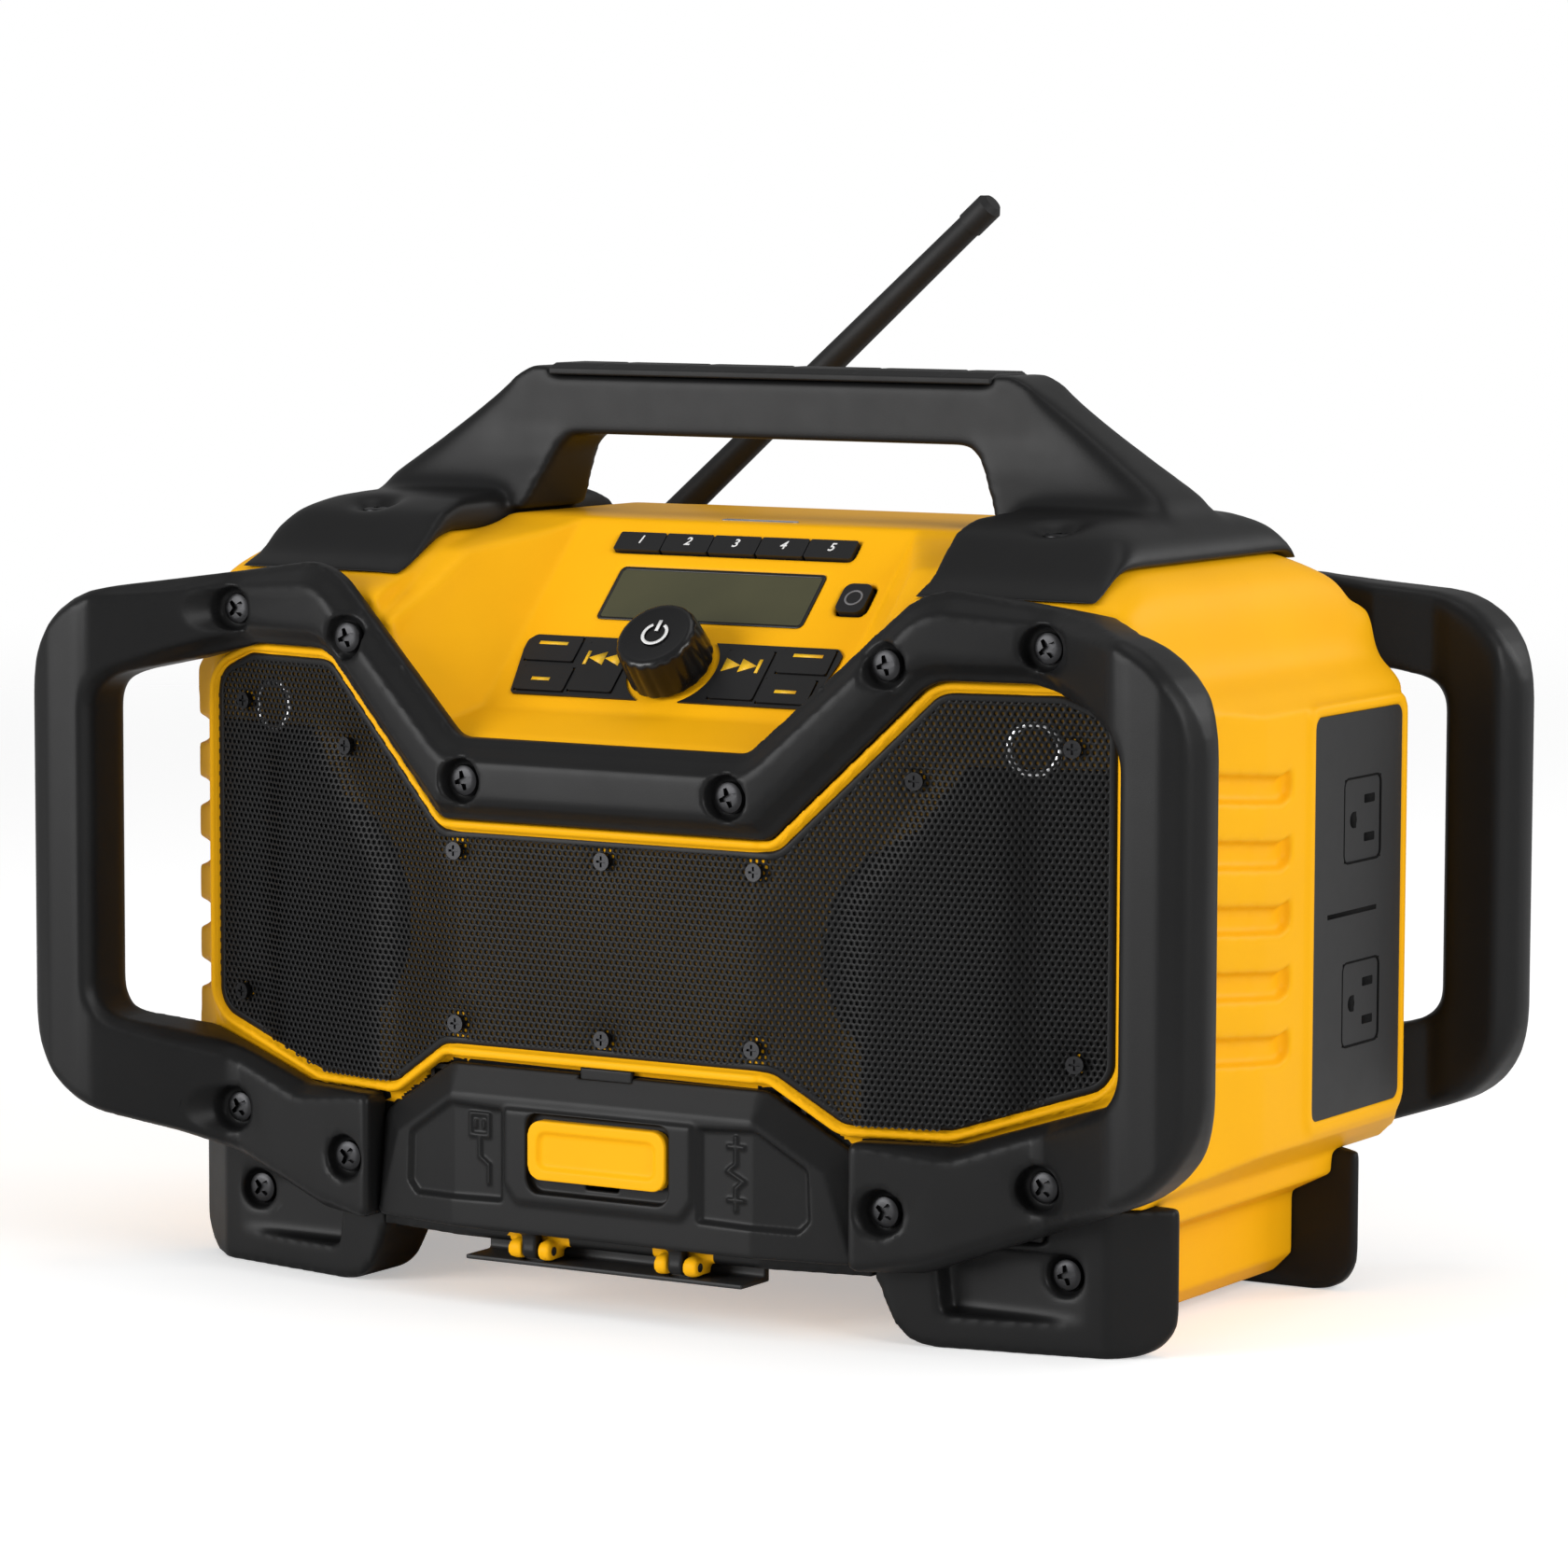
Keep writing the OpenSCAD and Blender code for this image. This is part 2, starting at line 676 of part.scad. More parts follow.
module speaker_grille() color("black") difference() {
    intersection() {
        along_y(-big, big) grille_outline();
        linear_extrude(big)
            swept_band(grille_front_y, grille_back_y, grille_half + 6, grille_sweep);
    }
    at_grille_screws() translate([0, 0, -5]) cylinder(r = 1.7, h = 10);
}

// ---- Screws ----

module cage_screws() color("silver") {
    at_cage_screws() translate([0, 0, screw_head_h - bore_depth])
        screw(screw_head_r, screw_head_h, screw_r, cage_shank);
    at_rear_screws() translate([0, 0, screw_head_h - bore_depth])
        screw(screw_head_r, screw_head_h, screw_r, cage_shank);
}
module grille_screws() color("dimgray") at_grille_screws() translate([0, 0, 1.6])
    screw(small_head_r, 1.6, 1.4, grille_t + 4);

handle_screw_x = 131.4;
handle_screw_y = seat_y + 59;
handle_bore_z = hump_z + 4;

module fixing_screws() color("silver") {
    front_and_rear() both_sides() {
        translate([handle_screw_x, handle_screw_y, handle_bore_z + screw_head_h])
            screw(screw_head_r, screw_head_h, screw_r, 14);
        translate([foot_screw_x, foot_face_y + bore_depth - screw_head_h, foot_screw_z])
            rotate([90, 0, 0]) screw(screw_head_r, screw_head_h, screw_r,
                foot_end_y - foot_face_y - bore_depth - 2);
    }
}

// ---- Cages ----

module front_cage() color(black) difference() {
    intersection() {
        along_y(-big, big) front_cage_outline();
        linear_extrude(big) front_cage_plan();
    }
    at_cage_screws() {
        translate([0, 0, -bore_depth]) cylinder(r = screw_head_r + 2, h = 40);
        translate([0, 0, -40]) cylinder(r = screw_r + shank_fit, h = 41);
    }
}

module rear_cage() color(black) difference() {
    intersection() {
        along_y(-big, big) rear_cage_outline();
        linear_extrude(big) rear_cage_plan();
    }
    at_rear_screws() {
        translate([0, 0, -bore_depth]) cylinder(r = screw_head_r + 2, h = 40);
        translate([0, 0, -40]) cylinder(r = screw_r + shank_fit, h = 41);
    }
}

// ---- Storage compartment ----

bay_low_z = 31;
bay_top_z = 76;
bay_wall = 2;
bay_front_y = seat_y + 1.5;
seal_t = 1.8;
door_face_y = seat_y - 7.5;
door_back_y = bay_front_y - seal_t - joint_gap;
pin_y = seat_y - 3;
pin_z = door_low_z - 5.5;
ear_r = 3.5;
ear_x = 28;
knuckle_w = 5.4;
ear_w = 5;

module bay_mouth(extra) {
    translate([-bay_half - extra, bay_low_z - extra])
        square([2 * (bay_half + extra), bay_top_z - bay_low_z + 2 * extra]);
}

module storage_bay() color("dimgray") {
    difference() {
        intersection() {
            along_y(bay_front_y, bay_front_y + bay_depth + bay_wall) bay_mouth(bay_wall);
            linear_extrude(big) swept_band(bay_front_y, big, bay_half + 5, cage_sweep);
        }
        along_y(bay_front_y - 1, bay_front_y + bay_depth) bay_mouth(0);
        usb_place() box([-7.5, 7.5], [-1, 20], [-4, 4]);
        jack_place() rod_y(4.2, -1, 20);
    }
    for (x = [-56, 56], y = [bay_front_y + 14, bay_front_y + 44])
        translate([x, y, bay_top_z + bay_wall - eps]) cylinder(r = 3, h = 4);
}

module usb_place() {
    translate([-44, bay_front_y + bay_depth, 54]) children();
}
module jack_place() {
    translate([-18, bay_front_y + bay_depth, 54]) children();
}

module usb_port() color("silver") usb_place() difference() {
    union() {
        box([-7.2, 7.2], [-0.5, 16], [-3.7, 3.7]);
        box([-8.6, 8.6], [-1.2, 0], [-5, 5]);
    }
    difference() {
        box([-6.4, 6.4], [-2, 14], [-2.8, 2.8]);
        box([-5.6, 5.6], [1, 15], [-0.2, 1.8]);
    }
}
module aux_jack() color("black") jack_place() difference() {
    union() {
        rod_y(4, -0.5, 15);
        rod_y(5.4, -1.2, 0);
    }
    rod_y(1.8, -3, 13);
}

module door_seal() color("black") difference() {
    intersection() {
        along_y(-big, big) bay_mouth(bay_wall);
        linear_extrude(big)
            swept_band(bay_front_y - seal_t, bay_front_y, bay_half + 5, cage_sweep);
    }
    along_y(-big, big) bay_mouth(0.4);
}

module door_outline() {
    difference() {
        translate([-door_half, door_low_z]) square([2 * door_half, 60]);
        offset(delta = rim_w + cage_gap) grille_outline();
        translate([-big, door_top_z]) square([2 * big, 40]);
    }
}

latch_mid_z = 54.5;
latch_low = latch_mid_z - latch_h / 2;
latch_top = latch_mid_z + latch_h / 2;
pocket_y = door_face_y + 2.3;
tongue_y = [pocket_y + 2.2, pocket_y + 4];
tongue_top_z = grille_low_z - rim_w - touch_gap;
stem_half = 6;

module storage_door() color(black) difference() {
    union() {
        intersection() {
            along_y(-big, big) round_out(3) door_outline();
            linear_extrude(big) swept_band(door_face_y, door_back_y, door_half + 5, cage_sweep);
        }
        both_sides() {
            translate([ear_x - knuckle_w / 2, pin_y, pin_z]) rotate([0, 90, 0])
                cylinder(r = ear_r - 0.2, h = knuckle_w);
            box([ear_x - knuckle_w / 2, ear_x + knuckle_w / 2],
                [door_face_y + 1.5, door_back_y - 1], [pin_z, door_low_z + 1]);
        }
    }
    both_sides() translate([ear_x - knuckle_w, pin_y, pin_z]) rotate([0, 90, 0])
        cylinder(r = pin_r + run_fit, h = knuckle_w * 2);
    // Two sunk panels beside the raised middle
    both_sides() intersection() {
        along_y(-big, big) offset(delta = -6) difference() {
            door_outline();
            translate([-100, 0]) square([132, 200]);
        }
        linear_extrude(big)
            swept_band(door_face_y - 9, door_face_y + 1.6, door_half + 5, cage_sweep);
    }
    box([-latch_w / 2 - touch_gap, latch_w / 2 + touch_gap], [door_face_y - 5, pocket_y],
        [latch_low - latch_travel - touch_gap, latch_top + touch_gap]);
    box([-stem_half - touch_gap, stem_half + touch_gap], [pocket_y - 1, door_back_y + 1],
        [latch_low + 2 - latch_travel, latch_top - 4 + touch_gap]);
    box([-stem_half - 4 - touch_gap, stem_half + 4 + touch_gap],
        [tongue_y[0] - touch_gap, door_back_y + 1], [latch_low - latch_travel + 1, big]);
}

module door_latch() color(yellow) {
    intersection() {
        box([-latch_w / 2, latch_w / 2], [door_face_y - 2, pocket_y - touch_gap],
            [latch_low, latch_top]);
        along_y(-big, big) translate([-latch_w / 2, latch_low]) round_out(5)
            square([latch_w, latch_h]);
    }
    box([-stem_half, stem_half], [pocket_y - touch_gap - eps, tongue_y[0] + eps],
        [latch_low + 6.3, latch_top - 4]);
    box([-stem_half - 4, stem_half + 4], tongue_y, [latch_low + 6.3, tongue_top_z]);
}

module pin(x0, x1) {
    translate([x0, 0, 0]) rotate([0, 90, 0]) cylinder(r = pin_r, h = x1 - x0);
}

module hinge_ears(y, z, x_mid, web_y, web_z) {
    both_sides() for (side = [-1, 1]) {
        x0 = x_mid + side * (knuckle_w / 2 + touch_gap + ear_w / 2) - ear_w / 2;
        difference() {
            union() {
                translate([x0, y, z]) rotate([0, 90, 0]) cylinder(r = ear_r, h = ear_w);
                box([x0, x0 + ear_w], web_y, web_z);
            }
            translate([x0 - 1, y, z]) rotate([0, 90, 0]) cylinder(r = pin_r + 0.02, h = ear_w + 2);
        }
    }
}

pack_pin_y = back_y + 4;
pack_pin_z = pack_low_z - 12;
pack_ear_x = 38;
pack_door_low = pack_pin_z + 4.5;
pack_door_top = pack_top_z + 12.5;
pack_door_half = pack_half + 9;

module hinge_pins() color("silver") {
    reach = knuckle_w / 2 + touch_gap + ear_w;
    both_sides() {
        translate([0, pin_y, pin_z]) pin(ear_x - reach, ear_x + reach);
        translate([0, pack_pin_y, pack_pin_z]) pin(pack_ear_x - reach, pack_ear_x + reach);
    }
}

// Plate under the door's hinge, with a lip that stands against the belly
module door_hinge_plate() color(black) {
    plate_top = pin_z - ear_r - 0.1;
    lip_y = seat_y + 12;
    difference() {
        box([-53, 53], [pin_y - 2.5, lip_y], [plate_top - 1.6, plate_top]);
        both_sides() box([ear_x - 3.4, ear_x + 3.4], [pin_y - 1.5, pin_y + 3],
            [plate_top - 3, plate_top + 1]);
    }
    box([-53, 53], [lip_y - 3, lip_y], [plate_top - 1.6, belly_z - touch_gap]);
}

// ---- Control panel ----

lcd_v = 45.5;
preset_v = 67.4;
pad_low_v = -1.5;
pad_top_v = 24;
knob_v = 13;
key_floor = -wall - touch_gap - 1.2;
stem_low = key_floor - 6.4;
board_w = stem_low - key_travel - 0.3;
board_t = 1.6;
keypad_board_size = [124, 81];
keypad_board_v = 33.5;
lens_t = 1.5;

// Plain box on the panel: centre in x and v, size, and lowest and highest w
module panel_box(x, v, size, w0, w1) {
    on_panel(x, v) translate([-size[0] / 2, -size[1] / 2, w0]) cube([size[0], size[1], w1 - w0]);
}
module key_plate(x, v, size, w0, w1, r) {
    on_panel(x, v, w0) linear_extrude(w1 - w0)
        round_out(r) square(size, center = true);
}

// A push key: cap through the panel, flange under it and a stem to its switch
module key(x, v, size, r) {
    key_plate(x, v, size, key_floor, key_rise, r);
    key_plate(x, v, [size[0], size[1] + 2.4], key_floor, key_floor + 1.2, r);
    on_panel(x, v, stem_low) cylinder(r = 2, h = key_floor - stem_low + eps);
}
module key_hole(x, v, size) {
    panel_box(x, v, [size[0] + 2 * key_gap, size[1] + 2 * key_gap], -wall - 4, 20);
}

preset_size = [preset_pitch - 0.4, preset_h];
mute_at = [-48.5, 18.2];
tone_at = [-46.5, 5.2];
side_key = [19, 10.4];
seek_x = 27;
seek_size = [17, 21];
seek_v = 11.2;
wireless_at = [54.5, 46.5];
wireless_size = [10.5, 12.5];

module preset_key(i) color(black) key((i - 3) * preset_pitch, preset_v, preset_size, 0.8);
module preset_1() preset_key(1);
module preset_2() preset_key(2);
module preset_3() preset_key(3);
module preset_4() preset_key(4);
module preset_5() preset_key(5);
module mute_key() color(black) key(mute_at[0], mute_at[1], side_key, 1);
module tone_key() color(black) key(tone_at[0], tone_at[1], side_key, 1);
module mode_key() color(black) key(-mute_at[0], mute_at[1], side_key, 1);
module clock_key() color(black) key(-tone_at[0], tone_at[1], side_key, 1);
module seek_back_key() color(black) key(-seek_x, seek_v, seek_size, 1);
module seek_forward_key() color(black) key(seek_x, seek_v, seek_size, 1);
module wireless_key() color(black) key(wireless_at[0], wireless_at[1], wireless_size, 3);

module side_key_holes() {
    for (s = [-1, 1]) {
        key_hole(s * mute_at[0], mute_at[1], side_key);
        key_hole(s * tone_at[0], tone_at[1], side_key);
        key_hole(s * seek_x, seek_v, seek_size);
    }
}

module keypad_bezel() color("black") difference() {
    both_sides() on_panel() linear_extrude(0.7) round_out(2) polygon([
        [6, pad_low_v], [57, pad_low_v], [60.5, pad_top_v - 6], [60.5, pad_top_v - 2],
        [58, pad_top_v + 0.5], [10, pad_top_v + 0.5]]);
    on_panel(0, knob_v, -1) cylinder(r = knob_r + 1.5, h = 4);
    side_key_holes();
}

module display_lens() color("olive")
    key_plate(0, lcd_v, [lcd_w, lcd_h], -lens_t - 0.2, -0.2, 1.5);
module display_module() color("darkgreen")
    panel_box(0, lcd_v, [lcd_w + 4, lcd_h + 4], -wall - 5, -wall);
module keypad_board() color("green") difference() {
    on_panel(0, keypad_board_v, board_w - board_t) linear_extrude(board_t)
        square(keypad_board_size, center = true);
    at_board_screws() translate([0, 0, board_w - 8]) cylinder(r = screw_r, h = board_t + 10);
}
module at_board_screws() {
    for (x = [-57, 57], v = [30.5, 72]) on_panel(x, v, 0) children();
}

plunger_r = 4;
shaft_low = -9.6;
module encoder_body() color("silver") difference() {
    union() {
        panel_box(0, knob_v, [14, 14], board_w, -wall);
        on_panel(0, knob_v, -wall - 1) cylinder(r = 4.6, h = wall + 1.9);
    }
    on_panel(0, knob_v, shaft_low) cylinder(r = shaft_r + run_fit, h = 20);
    on_panel(0, knob_v, board_w - 1)
        cylinder(r = plunger_r + run_fit, h = shaft_low + 0.4 - board_w + 1);
}
module encoder_plunger() color("white") on_panel(0, knob_v, board_w + key_travel + 0.3)
    cylinder(r = plunger_r, h = shaft_low - touch_gap - board_w - key_travel - 0.3);
module encoder_shaft() color("silver") on_panel(0, knob_v, shaft_low)
    cylinder(r = shaft_r, h = -shaft_low + 12);

knob_floor = key_travel + 0.8;
module volume_knob() color(black) on_panel(0, knob_v) difference() {
    rotate_extrude($fn = 72) polygon([[0, knob_floor], [knob_r - 1, knob_floor],
        [knob_r, knob_floor + 1], [knob_r, knob_h * 0.42], [knob_r - 1.2, knob_h * 0.62],
        [knob_face_r + 1.2, knob_h - 1.6], [knob_face_r, knob_h], [knob_face_r - 1.4, knob_h],
        [knob_face_r - 1.9, knob_h - 0.5], [0, knob_h - 0.5]]);
    translate([0, 0, -1]) cylinder(r = shaft_r + 0.02, h = 13.2);
    translate([0, 0, -1]) cylinder(r = 6.5, h = knob_floor + 3);
    for (a = [0 : 30 : 330]) rotate(a) translate([knob_r + 1.6, 0, -1])
        cylinder(r = 2.4, h = knob_h * 0.75);
}

module panel_cuts() {
    key_plate(0, lcd_v, [lcd_w + 0.5, lcd_h + 0.5], -lens_t - 0.2, 30, 1.5);
    panel_box(0, lcd_v, [lcd_w - 6, lcd_h - 6], -wall - 1, 1);
    key_hole(0, preset_v, [5 * preset_pitch - 0.4, preset_h]);
    key_hole(wireless_at[0], wireless_at[1], wireless_size);
    side_key_holes();
    on_panel(0, knob_v, -10) cylinder(r = 4.8, h = 20);
}

sensor_y = panel_end_y + 8;
module sensor_lens() color("gray") box([-14, 14], [sensor_y - 2, sensor_y + 2],
    [deck_z - 1.2, deck_z + 0.2]);

// ---- Electronics ----

main_board_z = bay_top_z + bay_wall + 4 - eps;
main_board_y = bay_front_y + 29;
main_board_size = [124, 40];
module flat_board(y, size, z) {
    translate([0, y, z]) linear_extrude(board_t) square(size, center = true);
}
module main_board() color("green") flat_board(main_board_y, main_board_size, main_board_z);
module heat_sink() color("silver") {
    z0 = main_board_z + board_t;
    box([-22, 22], [bay_front_y + 14, bay_front_y + 44], [z0, z0 + 4]);
    for (i = [0 : 6]) translate([-22 + i * 7, 0, 0])
        box([0, 2], [bay_front_y + 14, bay_front_y + 44], [z0 + 3.9, z0 + 20]);
}
charger_z = belly_z + wall + 4;
charger_y = back_y - 48;
charger_board_size = [150, 58];
module charger_board() color("green") flat_board(charger_y, charger_board_size, charger_z);
module transformer() color("dimgray") {
    z0 = charger_z + board_t;
    difference() {
        box([-30, 30], [charger_y - 14, charger_y + 14], [z0, z0 + 46]);
        for (s = [-1, 1]) box([s * 14 - 6, s * 14 + 6], [charger_y - 20, charger_y + 20],
            [z0 + 9, z0 + 37]);
    }
    difference() {
        box([-20, 20], [charger_y - 23, charger_y + 23], [z0 + 9.3, z0 + 36.7]);
        box([-30, 30], [charger_y - 14.3, charger_y + 14.3], [z0 - 1, z0 + 50]);
    }
    both_sides() box([8, 19.7], [charger_y - 20, charger_y + 20], [z0 + 9.3, z0 + 36.7]);
}
module charger_bosses() {
    for (x = [-66, 66], y = [charger_y - 22, charger_y + 22])
        translate([x, y, belly_z + wall - 1])
            cylinder(r = 4, h = charger_z - belly_z - wall + 1);
}

// ---- Outlets ----

outlet_y0 = split_y + 6.5;
outlet_mid_y = outlet_y0 + outlet_w / 2;
receptacle_y = outlet_mid_y + 3.3;
receptacle_size = 27;
panel_depth = 1.8;

// Extrusion along X of an outline drawn round the outlet panel's middle
module at_outlet(x0, x1) {
    along_x(x0, x1) translate([outlet_mid_y, outlet_z]) children();
}
module receptacle_squares(extra) {
    for (s = [-1, 1]) translate([receptacle_y - outlet_mid_y, s * outlet_pitch / 2])
        square(receptacle_size + 2 * extra, center = true);
}

module outlet_panel() color("black") difference() {
    at_outlet(side_x - panel_depth, side_x + 0.4) round_out(4)
        square([outlet_w, outlet_h], center = true);
    at_outlet(side_x - 5, side_x + 5) receptacle_squares(touch_gap);
}
module receptacles() color("dimgray") difference() {
    at_outlet(side_x - 26, side_x + 0.1) receptacle_squares(0);
    for (s = [-1, 1]) translate([side_x - 20, receptacle_y, outlet_z + s * outlet_pitch / 2]) {
        for (b = [-1, 1]) translate([0, 2.2, b * blade_gap / 2 - 1]) cube([30, 7, 2]);
        translate([0, -6.3, 0]) rotate([0, 90, 0]) cylinder(r = 2.4, h = 30);
    }
}

// ---- Antenna ----

antenna_y = back_y - 8.5;
antenna_pivot_z = ledge_z + 8;
spigot_r = 3;

module at_antenna() {
    translate([-antenna_x, antenna_y, 0]) children();
}
module antenna_knuckle() color("black") at_antenna() {
    translate([0, 0, ledge_z - 7]) cylinder(r = spigot_r, h = 8);
    translate([0, 0, ledge_z + touch_gap]) cylinder(r = 6.3, h = 3.5);
    for (s = [-1, 1]) intersection() {
        box([-4.2, 4.2], [s * 4.9 - 1.3, s * 4.9 + 1.3], [ledge_z + 3, antenna_pivot_z + 4.5]);
        cylinder(r = 6.3, h = big);
    }
    translate([0, 0, antenna_pivot_z]) rod_y(1.6, -4.2, 4.2);
}
module antenna_rod() color("black") at_antenna() translate([0, 0, antenna_pivot_z])
    rotate([0, antenna_lean, 0]) difference() {
        union() {
            rod_y(4, -3.3, 3.3);
            box([-4, 4], [-3.3, 3.3], [0, 11]);
            translate([0, 0, 9]) cylinder(r1 = antenna_r, r2 = antenna_tip_r,
                h = antenna_len - 20);
            translate([0, 0, antenna_len - 12]) cylinder(r = antenna_tip_r + 0.5, h = 10);
            translate([0, 0, antenna_len - 2]) cylinder(r1 = antenna_tip_r + 0.5,
                r2 = antenna_tip_r - 1.2, h = 2);
        }
        rod_y(1.6 + run_fit, -9, 9);
        for (s = [-1, 1]) box([-9, 9], [s * 6.3 - 2.7, s * 6.3 + 2.7], [-9, 8]);
    }

// ---- Battery bay ----

pack_back_y = back_y - pack_depth;
module pack_mouth(extra) {
    translate([-pack_half - extra, pack_low_z - extra])
        square([2 * (pack_half + extra), pack_top_z - pack_low_z + 2 * extra]);
}
module battery_bay() color("black") difference() {
    along_y(pack_back_y - bay_wall, back_y - 0.2) pack_mouth(bay_wall);
    along_y(pack_back_y, back_y + 1) pack_mouth(0);
}
module battery_terminal() color("dimgray") {
    z0 = (pack_low_z + pack_top_z) / 2 - 22;
    box([-20, 20], [pack_back_y, pack_back_y + 8], [z0, z0 + 44]);
    for (x = [-12, 0, 12])
        box([x - 0.5, x + 0.5], [pack_back_y + 7.9, pack_back_y + 18], [z0 + 6, z0 + 38]);
}

hook_half = 8;
hook_h = 3;
hook_low = pack_top_z + bay_wall + latch_travel + 2 * touch_gap;
hook_end_y = back_y - wall - 2.5;
pack_latch_low = pack_door_top - 17;

module battery_door() color(black) difference() {
    union() {
        along_y(back_y + joint_gap, back_y + joint_gap + pack_door_t) round_out(6)
            translate([-pack_door_half, pack_door_low])
                square([2 * pack_door_half, pack_door_top - pack_door_low]);
        both_sides() {
            translate([pack_ear_x - knuckle_w / 2, pack_pin_y, pack_pin_z]) rotate([0, 90, 0])
                cylinder(r = ear_r - 0.2, h = knuckle_w);
            box([pack_ear_x - knuckle_w / 2, pack_ear_x + knuckle_w / 2],
                [back_y + 1.4, back_y + joint_gap + pack_door_t - 0.2],
                [pack_pin_z, pack_door_low + 1]);
        }
    }
    both_sides() translate([pack_ear_x - knuckle_w, pack_pin_y, pack_pin_z]) rotate([0, 90, 0])
        cylinder(r = pin_r + run_fit, h = knuckle_w * 2);
    box([-20 - touch_gap, 20 + touch_gap], [back_y + joint_gap + 3, big],
        [pack_latch_low - latch_travel - touch_gap, pack_latch_low + 14 + touch_gap]);
    box([-hook_half - touch_gap, hook_half + touch_gap], [back_y - 1, big],
        [hook_low - latch_travel - touch_gap, hook_low + hook_h + touch_gap]);
    for (i = [0 : 4]) translate([0, 0, pack_door_low + 22 + i * 14])
        box([-42, 42], [back_y + joint_gap + pack_door_t - 1, big], [0, 5]);
}
module battery_latch() color(yellow) {
    box([-20, 20], [back_y + joint_gap + 3.3, back_y + joint_gap + pack_door_t + 1.5],
        [pack_latch_low, pack_latch_low + 14]);
    box([-hook_half, hook_half], [hook_end_y, back_y + joint_gap + 3.5],
        [hook_low, hook_low + hook_h]);
}

// ---- Cord gland ----

gland_x = -104;
gland_z = 84;
gland_bore_r = 3.75;
module cord_gland() color("black") translate([gland_x, 0, gland_z]) difference() {
    union() {
        rod_y(7.9, back_y - wall - 5, back_y + eps);
        rod_y(12, back_y, back_y + 3);
        translate([0, back_y + 3 - eps, 0]) rotate([-90, 0, 0])
            cylinder(r1 = 9, r2 = 6.5, h = 9);
    }
    rod_y(gland_bore_r, back_y - wall - 6, back_y + 20);
}

// ---- Housings ----

module cage_bosses(r, y0, y1) {
    both_sides() for (p = cage_points)
        translate([p[0], cage_at(p[0]), p[1]]) rod_y(r, seat_y + y0, seat_y + y1);
}
module rear_bosses(r, y0, y1) {
    both_sides() for (p = rear_points)
        translate([p[0], 0, p[1]]) rod_y(r, back_y - y1, back_y - y0);
}
module handle_bosses(r, low, high) {
    front_and_rear() both_sides() translate([handle_screw_x, handle_screw_y, hump_z - low])
        cylinder(r = r, h = low + high);
}

// Ledge round the grille, bosses for its screws and the speaker wall behind
module speaker_frame() {
    intersection() {
        along_y(-big, big) difference() {
            offset(delta = rim_w) grille_outline();
            offset(delta = -ledge_w) grille_outline();
        }
        linear_extrude(big)
            swept_band(grille_back_y, speaker_y + speaker_wall, grille_half + 6, grille_sweep);
    }
    intersection() {
        along_y(-big, big) offset(delta = rim_w) grille_outline();
        linear_extrude(big)
            swept_band(speaker_y, speaker_y + speaker_wall, grille_half + 6, grille_sweep);
    }
    at_grille_screws() translate([0, 0, -grille_t - speaker_drop - 1])
        cylinder(r = small_head_r + 1.6, h = speaker_drop + 1);
}
module speaker_well() intersection() {
    along_y(-big, big) offset(delta = -ledge_w) grille_outline();
    linear_extrude(big) swept_band(-big, speaker_y + 1, grille_half + 6, grille_sweep);
}
module rim() intersection() {
    along_y(-big, big) difference() {
        offset(delta = rim_w) grille_outline();
        offset(delta = touch_gap) grille_outline();
    }
    linear_extrude(big) swept_band(grille_front_y - rim_rise, grille_back_y + 2,
        grille_half + 6, grille_sweep);
}
module grille_pocket() intersection() {
    along_y(-big, big) offset(delta = touch_gap) grille_outline();
    linear_extrude(big)
        swept_band(-big, grille_back_y, grille_half + 6, grille_sweep);
}

module front_half() {
    box([-big, big], [-big, split_y - gasket_t / 2], [-big, big]);
}
module rear_half() {
    box([-big, big], [split_y + gasket_t / 2, big], [-big, big]);
}

module shell() difference() {
    body_form(0);
    cavity();
    side_grooves();
    foot_space(0);
}

module front_housing() color(yellow) difference() {
    union() {
        difference() {
            intersection() {
                shell();
                front_half();
            }
            speaker_well();
        }
        speaker_frame();
        rim();
        intersection() {
            body_form(0);
            union() {
                cage_bosses(boss_r, 0.5, 17);
                intersection() {
                    handle_bosses(boss_r, 16, -1);
                    front_half();
                }
            }
        }
        intersection() {
            foot_lugs();
            front_half();
        }
        at_board_screws() translate([0, 0, board_w + eps])
            cylinder(r = 3.2, h = -wall - board_w + 1 - eps);
        hinge_ears(pin_y, pin_z, ear_x, [pin_y, seat_y + 4], [pin_z - 3, pin_z + 3.4]);
    }
    grille_pocket();
    at_woofers() translate([0, 0, -20]) cylinder(r = woofer_hole_r, h = 24, $fn = 64);
    at_tweeters() translate([0, 0, -20]) cylinder(r = 10.6, h = 24);
    at_woofers() translate([0, 0, -speaker_back - 8])
        cylinder(r = woofer_r + joint_gap, h = 8, $fn = 64);
    along_y(-big, seat_y + 20) bay_mouth(bay_wall + touch_gap);
    cage_bosses(screw_r + shank_fit, -20, 15.6);
    at_grille_screws() translate([0, 0, -12]) cylinder(r = 1.55, h = 14);
    handle_bosses(screw_r + shank_fit, 14, 2);
    foot_pilots();
    panel_cuts();
    box([-14.3, 14.3], [sensor_y - 2.3, sensor_y + 2.3], [deck_z - 1.2, deck_z + 2]);
    both_sides() translate([0, pin_y, pin_z]) rotate([0, 90, 0])
        translate([0, 0, 10]) cylinder(r = pin_r + 0.02, h = 40);
}

